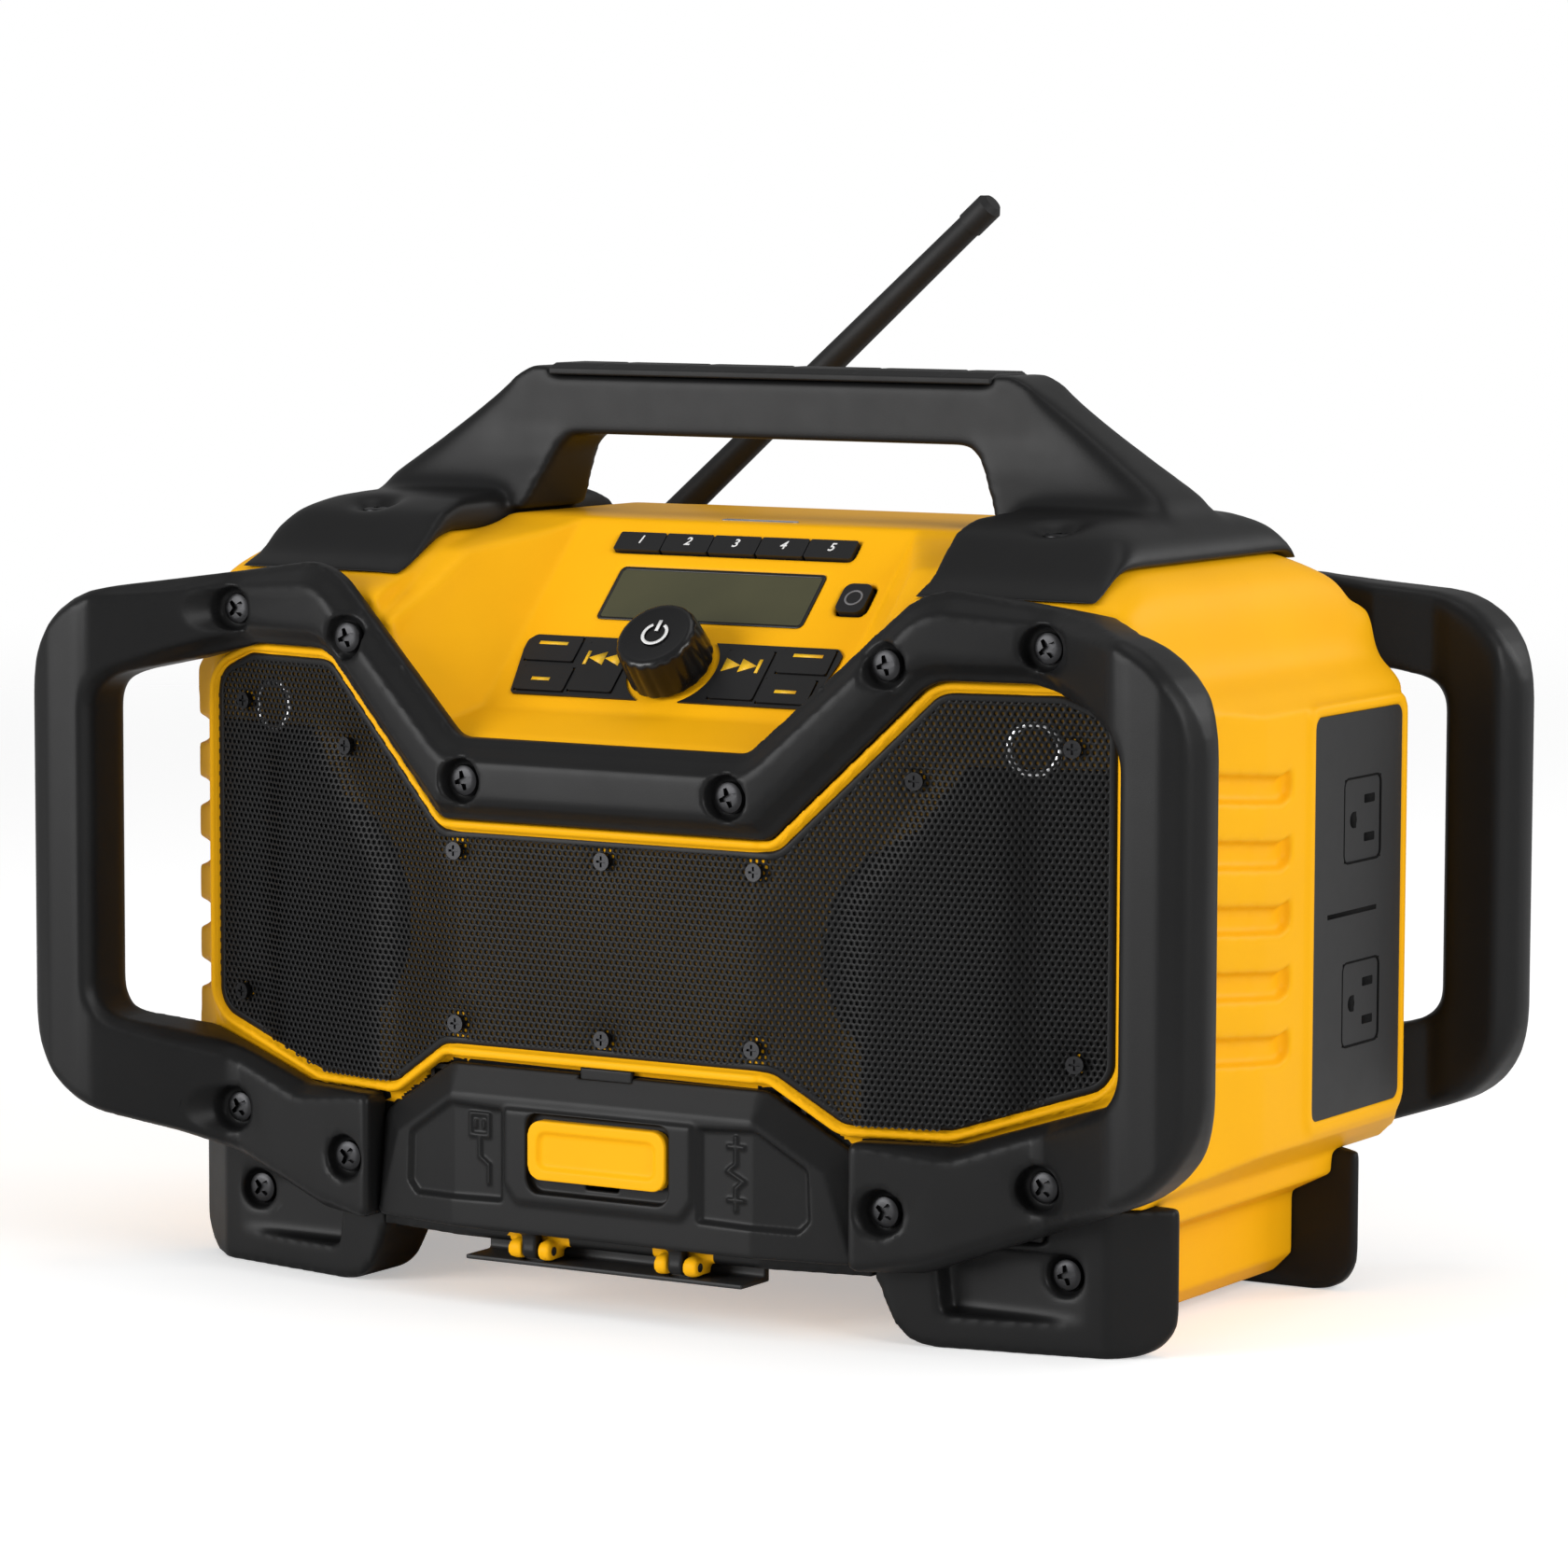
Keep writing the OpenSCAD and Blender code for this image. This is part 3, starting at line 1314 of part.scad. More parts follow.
module rear_housing() color(yellow) difference() {
    union() {
        intersection() {
            shell();
            rear_half();
        }
        intersection() {
            body_form(0);
            union() {
                rear_bosses(boss_r, 0.5, 17);
                intersection() {
                    handle_bosses(boss_r, 16, -1);
                    rear_half();
                }
            }
        }
        intersection() {
            foot_lugs();
            rear_half();
        }
        charger_bosses();
        at_antenna() translate([0, 0, ledge_z - 7]) cylinder(r = spigot_r + 3.3, h = 6);
        hinge_ears(pack_pin_y, pack_pin_z, pack_ear_x, [back_y - 1, pack_pin_y],
            [pack_pin_z - 3, pack_pin_z + 3]);
    }
    along_y(back_y - 12, big) pack_mouth(bay_wall + touch_gap);
    box([-hook_half - 1, hook_half + 1], [hook_end_y, back_y + 5],
        [hook_low - latch_travel - touch_gap, hook_low + hook_h + 2 * touch_gap]);
    rear_bosses(screw_r + shank_fit, -20, 15.6);
    handle_bosses(screw_r + shank_fit, 14, 2);
    foot_pilots();
    translate([gland_x, 0, gland_z]) rod_y(8.1, back_y - 20, back_y + 20);
    at_antenna() translate([0, 0, ledge_z - 20]) cylinder(r = spigot_r + run_fit, h = 40);
    at_outlet(side_x - panel_depth, side_x + 10) round_out(4)
        square([outlet_w + 2 * touch_gap, outlet_h + 2 * touch_gap], center = true);
    at_outlet(side_x - 20, side_x + 1) receptacle_squares(touch_gap);
}

module housing_gasket() color("black") difference() {
    intersection() {
        body_form(gasket_inset);
        box([-big, big], [split_y - gasket_t / 2, split_y + gasket_t / 2], [-big, big]);
    }
    body_form(wall);
}

// ---- Handle ----

handle_y = body_mid_y + 6.5;
bar_top_z = handle_top_z - rubber_t;
grip_half = 86;

module shoulder_side_profile() {
    polygon([[seat_y + 22.5, 224], [seat_y + 22.5, 238], [seat_y + 34, 243],
        [seat_y + 50, shoulder_z - 5], [seat_y + 62, shoulder_z - 1], [seat_y + 80, shoulder_z],
        [back_y - 80, shoulder_z], [back_y - 62, shoulder_z - 1], [back_y - 50, shoulder_z - 5],
        [back_y - 34, 243], [back_y - 22.5, 238], [back_y - 22.5, 224]]);
}
module shoulder_front_outline() {
    both_sides() polygon([[shoulder_in, 220], [shoulder_in, shoulder_z - 3],
        [shoulder_in + 3, shoulder_z], [shoulder_out - 16, shoulder_z],
        [shoulder_out - 6, shoulder_z - 5], [shoulder_out - 1, shoulder_z - 11],
        [shoulder_out, shoulder_z - 15], [shoulder_out, 220]]);
}
module handle_outline() {
    difference() {
        mirrored_outline([[0, bar_top_z], [grip_half, bar_top_z],
            [grip_half, handle_top_z - 1], [94, handle_top_z - 1], [99, handle_top_z - 3.5],
            [150, shoulder_z + 5], [154, shoulder_z - 1], [handle_gap_half + 11, shoulder_z - 6],
            [0, shoulder_z - 6]]);
        round_out(6) mirrored_outline([[0, handle_gap_z], [handle_gap_half - 5, handle_gap_z],
            [handle_gap_half, handle_gap_z - 5], [handle_gap_half + 10, shoulder_z - 6],
            [handle_gap_half + 10, shoulder_z - 40], [0, shoulder_z - 40]]);
    }
}
module handle_side_profile() {
    half = grip_d / 2;
    polygon([[handle_y - half - 8, shoulder_z - 7], [handle_y - half - 2, handle_gap_z - 8],
        [handle_y - half, handle_gap_z + 2], [handle_y - half, handle_top_z],
        [handle_y + half, handle_top_z], [handle_y + half, handle_gap_z + 2],
        [handle_y + half + 2, handle_gap_z - 8], [handle_y + half + 8, shoulder_z - 7]]);
}

module top_handle() color(black) difference() {
    union() {
        difference() {
            intersection() {
                both_sides() along_x(shoulder_in, shoulder_out) shoulder_side_profile();
                along_y(-big, big) shoulder_front_outline();
            }
            body_form(0);
        }
        intersection() {
            along_y(-big, big) handle_outline();
            along_x(-big, big) handle_side_profile();
        }
    }
    front_and_rear() both_sides() translate([handle_screw_x, handle_screw_y, 0]) {
        translate([0, 0, handle_bore_z]) cylinder(r = screw_head_r + 1.5, h = 60);
        cylinder(r = screw_r + shank_fit, h = big);
    }
}

notch_pitch = 33;
module handle_rubber() color("black") difference() {
    half = grip_d / 2;
    along_x(-grip_half + touch_gap, grip_half - touch_gap) polygon([
        [handle_y - half, bar_top_z], [handle_y + half, bar_top_z],
        [handle_y + half, handle_top_z - 1.8], [handle_y + half - 4, handle_top_z],
        [handle_y - half + 4, handle_top_z], [handle_y - half, handle_top_z - 1.8]]);
    for (i = [-2 : 2]) translate([i * notch_pitch, 0, handle_top_z + 0.2])
        rotate([0, 45, 0]) cube([2.4, 80, 2.4], center = true);
}

front_housing();
rear_housing();
housing_gasket();
front_cage();
rear_cage();
top_handle();
handle_rubber();
feet();
speaker_grille();
woofer_baskets();
woofer_cones();
woofer_magnets();
tweeters();
display_lens();
display_module();
keypad_bezel();
keypad_board();
main_board();
heat_sink();
charger_board();
transformer();
encoder_body();
encoder_plunger();
encoder_shaft();
volume_knob();
preset_1();
preset_2();
preset_3();
preset_4();
preset_5();
mute_key();
tone_key();
seek_back_key();
seek_forward_key();
mode_key();
clock_key();
wireless_key();
sensor_lens();
storage_bay();
usb_port();
aux_jack();
door_seal();
storage_door();
door_latch();
hinge_pins();
door_hinge_plate();
outlet_panel();
receptacles();
antenna_knuckle();
antenna_rod();
battery_bay();
battery_terminal();
battery_door();
battery_latch();
cord_gland();
cage_screws();
grille_screws();
fixing_screws();
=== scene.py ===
"""Finishes, softened shells, studio and camera for the jobsite radio.

Lengths are in metres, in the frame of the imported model: X to the right, Y to the
rear, Z up, with the origin on the ground under the middle of the radio.
"""
import json
import logging
import math
from dataclasses import dataclass, fields
from enum import Enum
from typing import Callable, ClassVar, Iterator, Optional, Sequence

import bmesh
import bpy
from mathutils import Matrix, Vector

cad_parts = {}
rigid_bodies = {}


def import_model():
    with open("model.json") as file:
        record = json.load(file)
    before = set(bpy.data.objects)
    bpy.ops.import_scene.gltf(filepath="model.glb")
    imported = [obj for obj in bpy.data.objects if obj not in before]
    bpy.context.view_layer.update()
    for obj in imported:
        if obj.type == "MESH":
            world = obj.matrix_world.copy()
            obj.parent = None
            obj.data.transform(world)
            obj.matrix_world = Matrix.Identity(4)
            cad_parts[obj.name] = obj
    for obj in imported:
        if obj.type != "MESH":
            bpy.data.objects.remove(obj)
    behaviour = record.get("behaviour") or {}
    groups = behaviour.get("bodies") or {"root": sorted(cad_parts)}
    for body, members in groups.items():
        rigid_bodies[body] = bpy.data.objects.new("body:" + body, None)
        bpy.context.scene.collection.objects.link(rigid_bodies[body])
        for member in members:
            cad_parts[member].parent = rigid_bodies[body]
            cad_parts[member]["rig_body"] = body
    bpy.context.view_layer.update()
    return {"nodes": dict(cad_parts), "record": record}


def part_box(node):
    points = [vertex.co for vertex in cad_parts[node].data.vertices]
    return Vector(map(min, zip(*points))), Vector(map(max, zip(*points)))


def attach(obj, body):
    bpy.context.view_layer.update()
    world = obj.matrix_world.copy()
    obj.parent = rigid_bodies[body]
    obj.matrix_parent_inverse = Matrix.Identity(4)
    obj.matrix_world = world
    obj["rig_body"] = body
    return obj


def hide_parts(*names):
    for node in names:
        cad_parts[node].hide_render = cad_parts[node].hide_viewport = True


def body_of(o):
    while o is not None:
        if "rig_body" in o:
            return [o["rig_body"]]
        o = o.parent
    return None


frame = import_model()

MM = 0.001
WELD = 0.002 * MM
ROOT = "radio"
LOG = logging.getLogger("radio")

Color = tuple[float, float, float]
Point2 = tuple[float, float]
Point3 = tuple[float, float, float]
Path = tuple[Point2, ...]
Corners = tuple[Point3, ...]
Socket = str | int
Mesh = bmesh.types.BMesh
Node = bpy.types.Node
Piece = bpy.types.Object


# ---------------------------------------------------------------- finishes

class Pattern(Enum):
    """Surface grain of a moulded finish."""

    FINE = "fine"
    LEATHERY = "leathery"
    SMOOTH = "smooth"


@dataclass(frozen=True)
class Nodes:
    """Short forms for building a node tree.

    Args:
        tree: the tree that gets the nodes.
    """

    tree: bpy.types.NodeTree

    def add(self, kind: str, inputs: Optional[dict[Socket, object]] = None,
            **settings: object) -> Node:
        """Adds a node.

        Args:
            kind: the node's type name, without its ShaderNode prefix.
            inputs: values of its input sockets.
            settings: properties of the node.

        Returns:
            The new node.
        """
        node = self.tree.nodes.new("ShaderNode" + kind)
        for name, value in settings.items():
            setattr(node, name, value)
        for name, value in (inputs or {}).items():
            node.inputs[name].default_value = value
        return node

    def link(self, source: Node, output: Socket, target: Node, name: Socket) -> None:
        """Links an output socket to an input socket, by name or by place."""
        self.tree.links.new(source.outputs[output], target.inputs[name])

    def noise(self, source: Node, output: Socket, grain: Point2) -> Node:
        """Adds noise that follows a node's output.

        Args:
            source: the node that gives the noise its place.
            output: the node's output.
            grain: scale and detail of the noise.

        Returns:
            The noise node.
        """
        node = self.add("TexNoise", {"Scale": grain[0], "Detail": grain[1]})
        self.link(source, output, node, "Vector")
        return node

    def paint(self, source: Node, shader: Node, colors: Sequence[Color],
              spots: Point2 = (0.0, 1.0)) -> None:
        """Colours a shader by a node's factor, from one colour to another.

        Args:
            source: the node that gives the factor.
            shader: the shader.
            colors: the colours at both ends.
            spots: the factors of both ends.
        """
        ramp = self.add("ValToRGB")
        for element, spot, color in zip(ramp.color_ramp.elements, spots, colors):
            element.position = spot
            element.color = (*color, 1.0)
        self.link(source, "Fac", ramp, "Fac")
        self.link(ramp, "Color", shader, "Base Color")

    def roughen(self, source: Node, shader: Node, span: Point2) -> None:
        """Spreads a shader's roughness over a span by a node's factor.

        Args:
            source: the node that gives the factor.
            shader: the shader.
            span: lowest and highest roughness.
        """
        spread = self.add("MapRange", {"To Min": span[0], "To Max": span[1]})
        self.link(source, "Fac", spread, "Value")
        self.link(spread, "Result", shader, "Roughness")

    def emboss(self, source: Node, output: str, shader: Node, height: float) -> None:
        """Raises a shader's surface by a node's output.

        Args:
            source: the node that gives the height.
            output: the node's output.
            shader: the shader.
            height: height of the relief, in metres.
        """
        bump = self.add("Bump", {"Distance": height, "Strength": 1.0})
        self.link(source, output, bump, "Height")
        self.link(bump, "Normal", shader, "Normal")

    def blend(self, share: Node, output: Socket, first: Node, second: Node) -> Node:
        """Blends two shaders by a node's output.

        Args:
            share: the node that gives the second one's share.
            output: the node's output.
            first: the first shader.
            second: the second shader.

        Returns:
            The blended shader.
        """
        both = self.add("MixShader")
        self.link(share, output, both, "Fac")
        self.link(first, 0, both, 1)
        self.link(second, 0, both, 2)
        return both


def new_material(name: str) -> tuple[bpy.types.Material, Nodes, Node]:
    """Makes an empty node material.

    Args:
        name: the material's name.

    Returns:
        The material, its nodes and its principled shader, linked to the output.
    """
    material = bpy.data.materials.new(name)
    material.use_nodes = True
    return material, Nodes(material.node_tree), material.node_tree.nodes["Principled BSDF"]


@dataclass(frozen=True)
class Moulded:
    """Moulded plastic or rubber with a grain, faint mottling and a worn sheen.

    Args:
        name: name of the finish.
        color: main colour, linear.
        shade: second colour that mottles the first.
        roughness: lowest and highest roughness.
        grain: size of the grain, in metres.
        relief: height of the grain, in metres.
        pattern: kind of grain.
        coat: weight of the glossy coat.
        specular: specular level.
    """

    name: str
    color: Color
    shade: Color
    roughness: Point2 = (0.42, 0.55)
    grain: float = 0.5 * MM
    relief: float = 0.02 * MM
    pattern: Pattern = Pattern.FINE
    coat: float = 0.0
    specular: float = 0.5

    MOTTLE: ClassVar[Point2] = (22.0, 4.0)
    MOTTLE_SPOTS: ClassVar[Point2] = (0.35, 0.68)
    WEAR: ClassVar[Point2] = (90.0, 3.0)
    COAT_ROUGHNESS: ClassVar[float] = 0.12
    PORES: ClassVar[float] = 0.6

    def build(self) -> bpy.types.Material:
        """Builds the material.

        Returns:
            The finished material.
        """
        material, nodes, shader = new_material(self.name)
        shader.inputs["Coat Weight"].default_value = self.coat
        shader.inputs["Coat Roughness"].default_value = self.COAT_ROUGHNESS
        shader.inputs["Specular IOR Level"].default_value = self.specular
        place = nodes.add("TexCoord")
        cloud = nodes.noise(place, "Object", self.MOTTLE)
        nodes.paint(cloud, shader, (self.shade, self.color), self.MOTTLE_SPOTS)
        nodes.roughen(nodes.noise(place, "Object", self.WEAR), shader, self.roughness)
        scale = 1.0 / self.grain
        if self.pattern is Pattern.LEATHERY:
            grain = nodes.add("TexVoronoi", {"Scale": scale, "Smoothness": self.PORES},
                              feature="SMOOTH_F1")
            nodes.link(place, "Object", grain, "Vector")
            nodes.emboss(grain, "Distance", shader, self.relief)
        else:
            detail = 3.0 if self.pattern is Pattern.FINE else 1.0
            grain = nodes.noise(place, "Object", (scale, detail))
            nodes.emboss(grain, "Fac", shader, self.relief)
        return material


@dataclass(frozen=True)
class Metal:
    """Plated or painted metal with fine brush marks.

    Args:
        name: name of the finish.
        color: main colour, linear.
        roughness: lowest and highest roughness.
    """

    name: str
    color: Color
    roughness: Point2

    MARKS: ClassVar[Point2] = (420.0, 4.0)
    MARK_STRETCH: ClassVar[Point3] = (1.0, 1.0, 6.0)
    MARK_SHADE: ClassVar[float] = 0.72
    MARK_HEIGHT: ClassVar[float] = 0.01 * MM

    def build(self) -> bpy.types.Material:
        """Builds the material.

        Returns:
            The finished material.
        """
        material, nodes, shader = new_material(self.name)
        shader.inputs["Metallic"].default_value = 1.0
        drawn = nodes.add("Mapping", {"Scale": self.MARK_STRETCH})
        nodes.link(nodes.add("TexCoord"), "Object", drawn, "Vector")
        marks = nodes.noise(drawn, "Vector", self.MARKS)
        dark = tuple(self.MARK_SHADE * c for c in self.color)
        nodes.paint(marks, shader, (dark, self.color))
        nodes.roughen(marks, shader, self.roughness)
        nodes.emboss(marks, "Fac", shader, self.MARK_HEIGHT)
        return material


@dataclass(frozen=True)
class Finishes:
    """All finishes of the radio, by the record's material slot."""

    yellow: Moulded = Moulded("yellow_shell", (0.90, 0.440, 0.006), (0.875, 0.420, 0.0055),
                              (0.38, 0.46), 0.35 * MM, 0.006 * MM, Pattern.FINE, 0.0, 0.07)
    cage: Moulded = Moulded("black_cage", (0.0088, 0.0088, 0.0090), (0.0072, 0.0072, 0.0074),
                            (0.37, 0.46), 0.45 * MM, 0.012 * MM, Pattern.LEATHERY, 0.0, 0.19)
    black: Moulded = Moulded("black_plastic", (0.022, 0.022, 0.0225), (0.019, 0.019, 0.0195),
                             (0.42, 0.54), 0.4 * MM, 0.012 * MM, Pattern.FINE, 0.0, 0.3)
    rubber: Moulded = Moulded("soft_rubber", (0.010, 0.010, 0.0103), (0.008, 0.008, 0.0083),
                              (0.52, 0.64), 0.5 * MM, 0.014 * MM, Pattern.LEATHERY, 0.0, 0.3)
    grille: Moulded = Moulded("grille_metal", (0.0075, 0.0075, 0.0078), (0.006, 0.006, 0.0063),
                              (0.42, 0.54), 0.6 * MM, 0.006 * MM, Pattern.FINE, 0.0, 0.22)
    knob: Moulded = Moulded("knob_gloss", (0.0045, 0.0045, 0.005), (0.0035, 0.0035, 0.004),
                            (0.24, 0.34), 2.0 * MM, 0.004 * MM, Pattern.SMOOTH, 0.10, 0.3)
    keypad: Moulded = Moulded("keypad", (0.0105, 0.0105, 0.011), (0.0085, 0.0085, 0.009),
                              (0.34, 0.44), 0.5 * MM, 0.006 * MM, Pattern.FINE, 0.0, 0.35)
    cone: Moulded = Moulded("speaker_cone", (0.006, 0.006, 0.0062), (0.0045, 0.0045, 0.0047),
                            (0.7, 0.85), 0.9 * MM, 0.06 * MM, Pattern.FINE, 0.0, 0.2)
    board: Moulded = Moulded("circuit_board", (0.010, 0.085, 0.028), (0.007, 0.06, 0.02),
                             (0.3, 0.4), 1.2 * MM, 0.02 * MM, Pattern.LEATHERY)
    nylon: Moulded = Moulded("white_nylon", (0.72, 0.72, 0.70), (0.66, 0.66, 0.63))
    lens: Moulded = Moulded("grey_lens", (0.24, 0.25, 0.27), (0.19, 0.20, 0.22),
                            (0.12, 0.2), 1.5 * MM, 0.004 * MM, Pattern.SMOOTH, 0.6)
    cell: Moulded = Moulded("lcd_module", (0.066, 0.065, 0.030), (0.055, 0.054, 0.025),
                            (0.4, 0.5), 2.0 * MM, 0.002 * MM, Pattern.SMOOTH)
    window: Moulded = Moulded("lcd_window", (0.060, 0.058, 0.026), (0.048, 0.047, 0.021),
                              (0.10, 0.16), 3.0 * MM, 0.002 * MM, Pattern.SMOOTH, 0.3, 0.35)
    screws: Metal = Metal("screw_steel", (0.045, 0.045, 0.047), (0.30, 0.46))
    bright: Metal = Metal("bright_steel", (0.62, 0.62, 0.63), (0.15, 0.3))
    fins: Metal = Metal("aluminium_fins", (0.66, 0.66, 0.67), (0.25, 0.4))
    iron: Metal = Metal("iron_core", (0.10, 0.10, 0.105), (0.4, 0.6))
    print_white: Moulded = Moulded("print_white", (0.78, 0.78, 0.78), (0.70, 0.70, 0.70))
    print_yellow: Moulded = Moulded("print_yellow", (0.88, 0.52, 0.01), (0.80, 0.47, 0.01))
    print_grey: Moulded = Moulded("print_grey", (0.16, 0.16, 0.17), (0.13, 0.13, 0.14))
    # painted shade: a dim yellow-brown that stands for the housing in shadow behind the grille's
    # holes
    shaded: Moulded = Moulded("painted_shade_shell", (0.17, 0.092, 0.016), (0.12, 0.066, 0.011),
                              (0.6, 0.7), 4.0 * MM, 0.004 * MM, Pattern.SMOOTH, 0.0, 0.1)
    # painted shade: near-black for the shade inside the outlet slots; the sockets' dark outline
    # lines use it too
    pit: Moulded = Moulded("dark_lines_and_slot_shade", (0.0025, 0.0025, 0.0026), (0.0018, 0.0018, 0.0019),
                           (0.7, 0.85), 0.9 * MM, 0.01 * MM, Pattern.FINE, 0.0, 0.1)


class Workshop:
    """Builds each finish once, and dresses nodes and pieces with them.

    Args:
        finishes: the finishes to build.
    """

    def __init__(self, finishes: Finishes) -> None:
        """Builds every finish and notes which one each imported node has.

        Args:
            finishes: the finishes to build.
        """
        made = (getattr(finishes, part.name) for part in fields(finishes))
        self.finish: dict[str, bpy.types.Material] = {f.name: f.build() for f in made}
        self.slot_of: dict[str, str] = {part["node"]: part["material_slot"]
                                        for part in frame["record"]["subparts"]}

    def dress(self, piece: Piece, name: str) -> None:
        """Gives a piece one finish, by its name."""
        piece.data.materials.clear()
        piece.data.materials.append(self.finish[name])

    def dress_nodes(self) -> None:
        """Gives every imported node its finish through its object's material slots."""
        for node, slot in self.slot_of.items():
            for holder in frame["nodes"][node].material_slots:
                holder.link = "OBJECT"
                holder.material = self.finish[slot]
        LOG.info("dressed %d nodes", len(self.slot_of))


# ---------------------------------------------------------------- mesh tools

@dataclass(frozen=True)
class Rise:
    """A share that rises from 0 to 1 between two measures, in millimetres.

    Args:
        start: where it is 0.
        end: where it is 1.
    """

    start: float
    end: float

    def at(self, measure: float) -> float:
        """Returns the share at a measure."""
        return min(max((measure - self.start) / (self.end - self.start), 0.0), 1.0)


def node_mesh(node: str) -> Mesh:
    """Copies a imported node's mesh, with its split vertices welded.

    Args:
        node: the node's name.

    Returns:
        A new mesh, which the caller frees.
    """
    mesh = bmesh.new()
    mesh.from_mesh(frame["nodes"][node].data)
    bmesh.ops.remove_doubles(mesh, verts=mesh.verts, dist=WELD)
    return mesh


def place_mesh(mesh: Mesh, name: str) -> Piece:
    """Turns a mesh into a smooth shaded object of the scene and frees it.

    Args:
        mesh: the mesh to place.
        name: the new object's name.

    Returns:
        The new object.
    """
    data = bpy.data.meshes.new(name)
    mesh.to_mesh(data)
    mesh.free()
    data.polygons.foreach_set("use_smooth", [True] * len(data.polygons))
    piece = bpy.data.objects.new(name, data)
    bpy.context.scene.collection.objects.link(piece)
    return piece


def settle(piece: Piece) -> None:
    """Applies a piece's modifiers to its mesh and shades it smooth.

    Args:
        piece: the object whose modifiers are applied.
    """
    graph = bpy.context.evaluated_depsgraph_get()
    baked = bpy.data.meshes.new_from_object(piece.evaluated_get(graph))
    piece.modifiers.clear()
    piece.data = baked
    baked.polygons.foreach_set("use_smooth", [True] * len(baked.polygons))


def crease(piece: Piece, angle: float) -> None:
    """Keeps edges above an angle sharp and evens out the normals of large faces.

    Args:
        piece: the object to shade.
        angle: the angle between faces above which an edge stays sharp, in degrees.
    """
    mesh = bmesh.new()
    mesh.from_mesh(piece.data)
    for edge in mesh.edges:
        edge.smooth = edge.calc_face_angle(0.0) < math.radians(angle)
    mesh.to_mesh(piece.data)
    mesh.free()
    weigh = piece.modifiers.new("normals", "WEIGHTED_NORMAL")
    weigh.keep_sharp = True


def add_box(mesh: Mesh, low: Point3, high: Point3) -> None:
    """Adds a closed box to a mesh.

    Args:
        mesh: the mesh that gets the box.
        low: its lowest corner.
        high: its highest corner.
    """
    size = Vector(high) - Vector(low)
    middle = (Vector(high) + Vector(low)) / 2
    bmesh.ops.create_cube(mesh, size=1.0, matrix=Matrix.Translation(middle)
                          @ Matrix.Diagonal((*size, 1.0)))


def add_prism(mesh: Mesh, outline: Sequence[Vector], reach: Vector) -> None:
    """Adds a closed prism to a mesh.

    Args:
        mesh: the mesh that gets the prism.
        outline: the corners of its base.
        reach: from its base to its top.
    """
    base = [mesh.verts.new(point) for point in outline]
    top = [mesh.verts.new(point + reach) for point in outline]
    faces = [mesh.faces.new(base), mesh.faces.new(list(reversed(top)))]
    for i in range(len(base)):
        j = (i + 1) % len(base)
        faces.append(mesh.faces.new((base[i], top[i], top[j], base[j])))
    bmesh.ops.recalc_face_normals(mesh, faces=faces)


def skin(mesh: Mesh, rings: Sequence[Sequence[bmesh.types.BMVert]],
         closed: bool = False) -> list[bmesh.types.BMFace]:
    """Joins rings of as many vertices by four-sided faces.

    Args:
        mesh: the mesh that holds the rings.
        rings: the rings in order.
        closed: whether the first and the last ring get an end face.

    Returns:
        The new faces between the rings.
    """
    count = len(rings[0])
    faces = [mesh.faces.new((low[i], low[(i + 1) % count], high[(i + 1) % count], high[i]))
             for low, high in zip(rings, rings[1:]) for i in range(count)]
    if closed:
        mesh.faces.new(rings[0][::-1])
        mesh.faces.new(rings[-1])
    return faces


def add_ring(mesh: Mesh, outer: Sequence[Vector], inner: Sequence[Vector],
             reach: Vector) -> None:
    """Adds a closed flat ring between two outlines of as many points.

    Args:
        mesh: the mesh that gets the ring.
        outer: its outer edge.
        inner: its inner edge.
        reach: from its base to its top.
    """
    still = Vector((0, 0, 0))
    rings = [[mesh.verts.new(point + move) for point in edge] for edge, move in
             ((outer, still), (outer, reach), (inner, reach), (inner, still))]
    bmesh.ops.recalc_face_normals(mesh, faces=skin(mesh, [*rings, rings[0]]))


def circle(steps: int, start: float = 0.0) -> list[Point2]:
    """Returns points on the unit circle, from a start angle in radians."""
    angles = [math.tau * i / steps + start for i in range(steps)]
    return [(math.cos(angle), math.sin(angle)) for angle in angles]


def rounded_box(size: Point2, radius: float, steps: int = 6) -> list[Point2]:
    """Traces a rectangle with rounded corners round the origin.

    Args:
        size: its width and height.
        radius: radius of its corners.
        steps: number of segments in each corner.

    Returns:
        Its points, in the units of its size.
    """
    points = []
    for k, (sx, sy) in enumerate(((1, 1), (-1, 1), (-1, -1), (1, -1))):
        middle = (sx * (size[0] / 2 - radius), sy * (size[1] / 2 - radius))
        for step in range(steps + 1):
            angle = math.pi / 2 * (k + step / steps)
            points.append((middle[0] + radius * math.cos(angle),
                           middle[1] + radius * math.sin(angle)))
    return points


def split(mesh: Mesh, place: Sequence[float], way: Sequence[float],
          **clear: bool) -> list[bmesh.types.BMEdge]:
    """Splits a mesh at a plane.

    Args:
        mesh: the mesh to split.
        place: a point on the plane.
        way: the plane's direction.
        clear: which side is cleared, if any.

    Returns:
        The edges on the plane.
    """
    cut = bmesh.ops.bisect_plane(mesh, geom=[*mesh.verts, *mesh.edges, *mesh.faces],
                                 dist=1e-7, plane_co=place, plane_no=way, **clear)
    return [part for part in cut["geom_cut"] if isinstance(part, bmesh.types.BMEdge)]


def trimmed(node: str, place: Vector, way: Vector) -> Mesh:
    """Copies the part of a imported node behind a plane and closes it.

    Args:
        node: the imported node's name.
        place: a point on the plane.
        way: the plane's direction; what lies beyond is left off.

    Returns:
        A new mesh, which the caller frees.
    """
    mesh = node_mesh(node)
    edges = split(mesh, place, way, clear_outer=True)
    bmesh.ops.triangle_fill(mesh, use_beauty=True, edges=edges)
    bmesh.ops.recalc_face_normals(mesh, faces=mesh.faces)
    return mesh


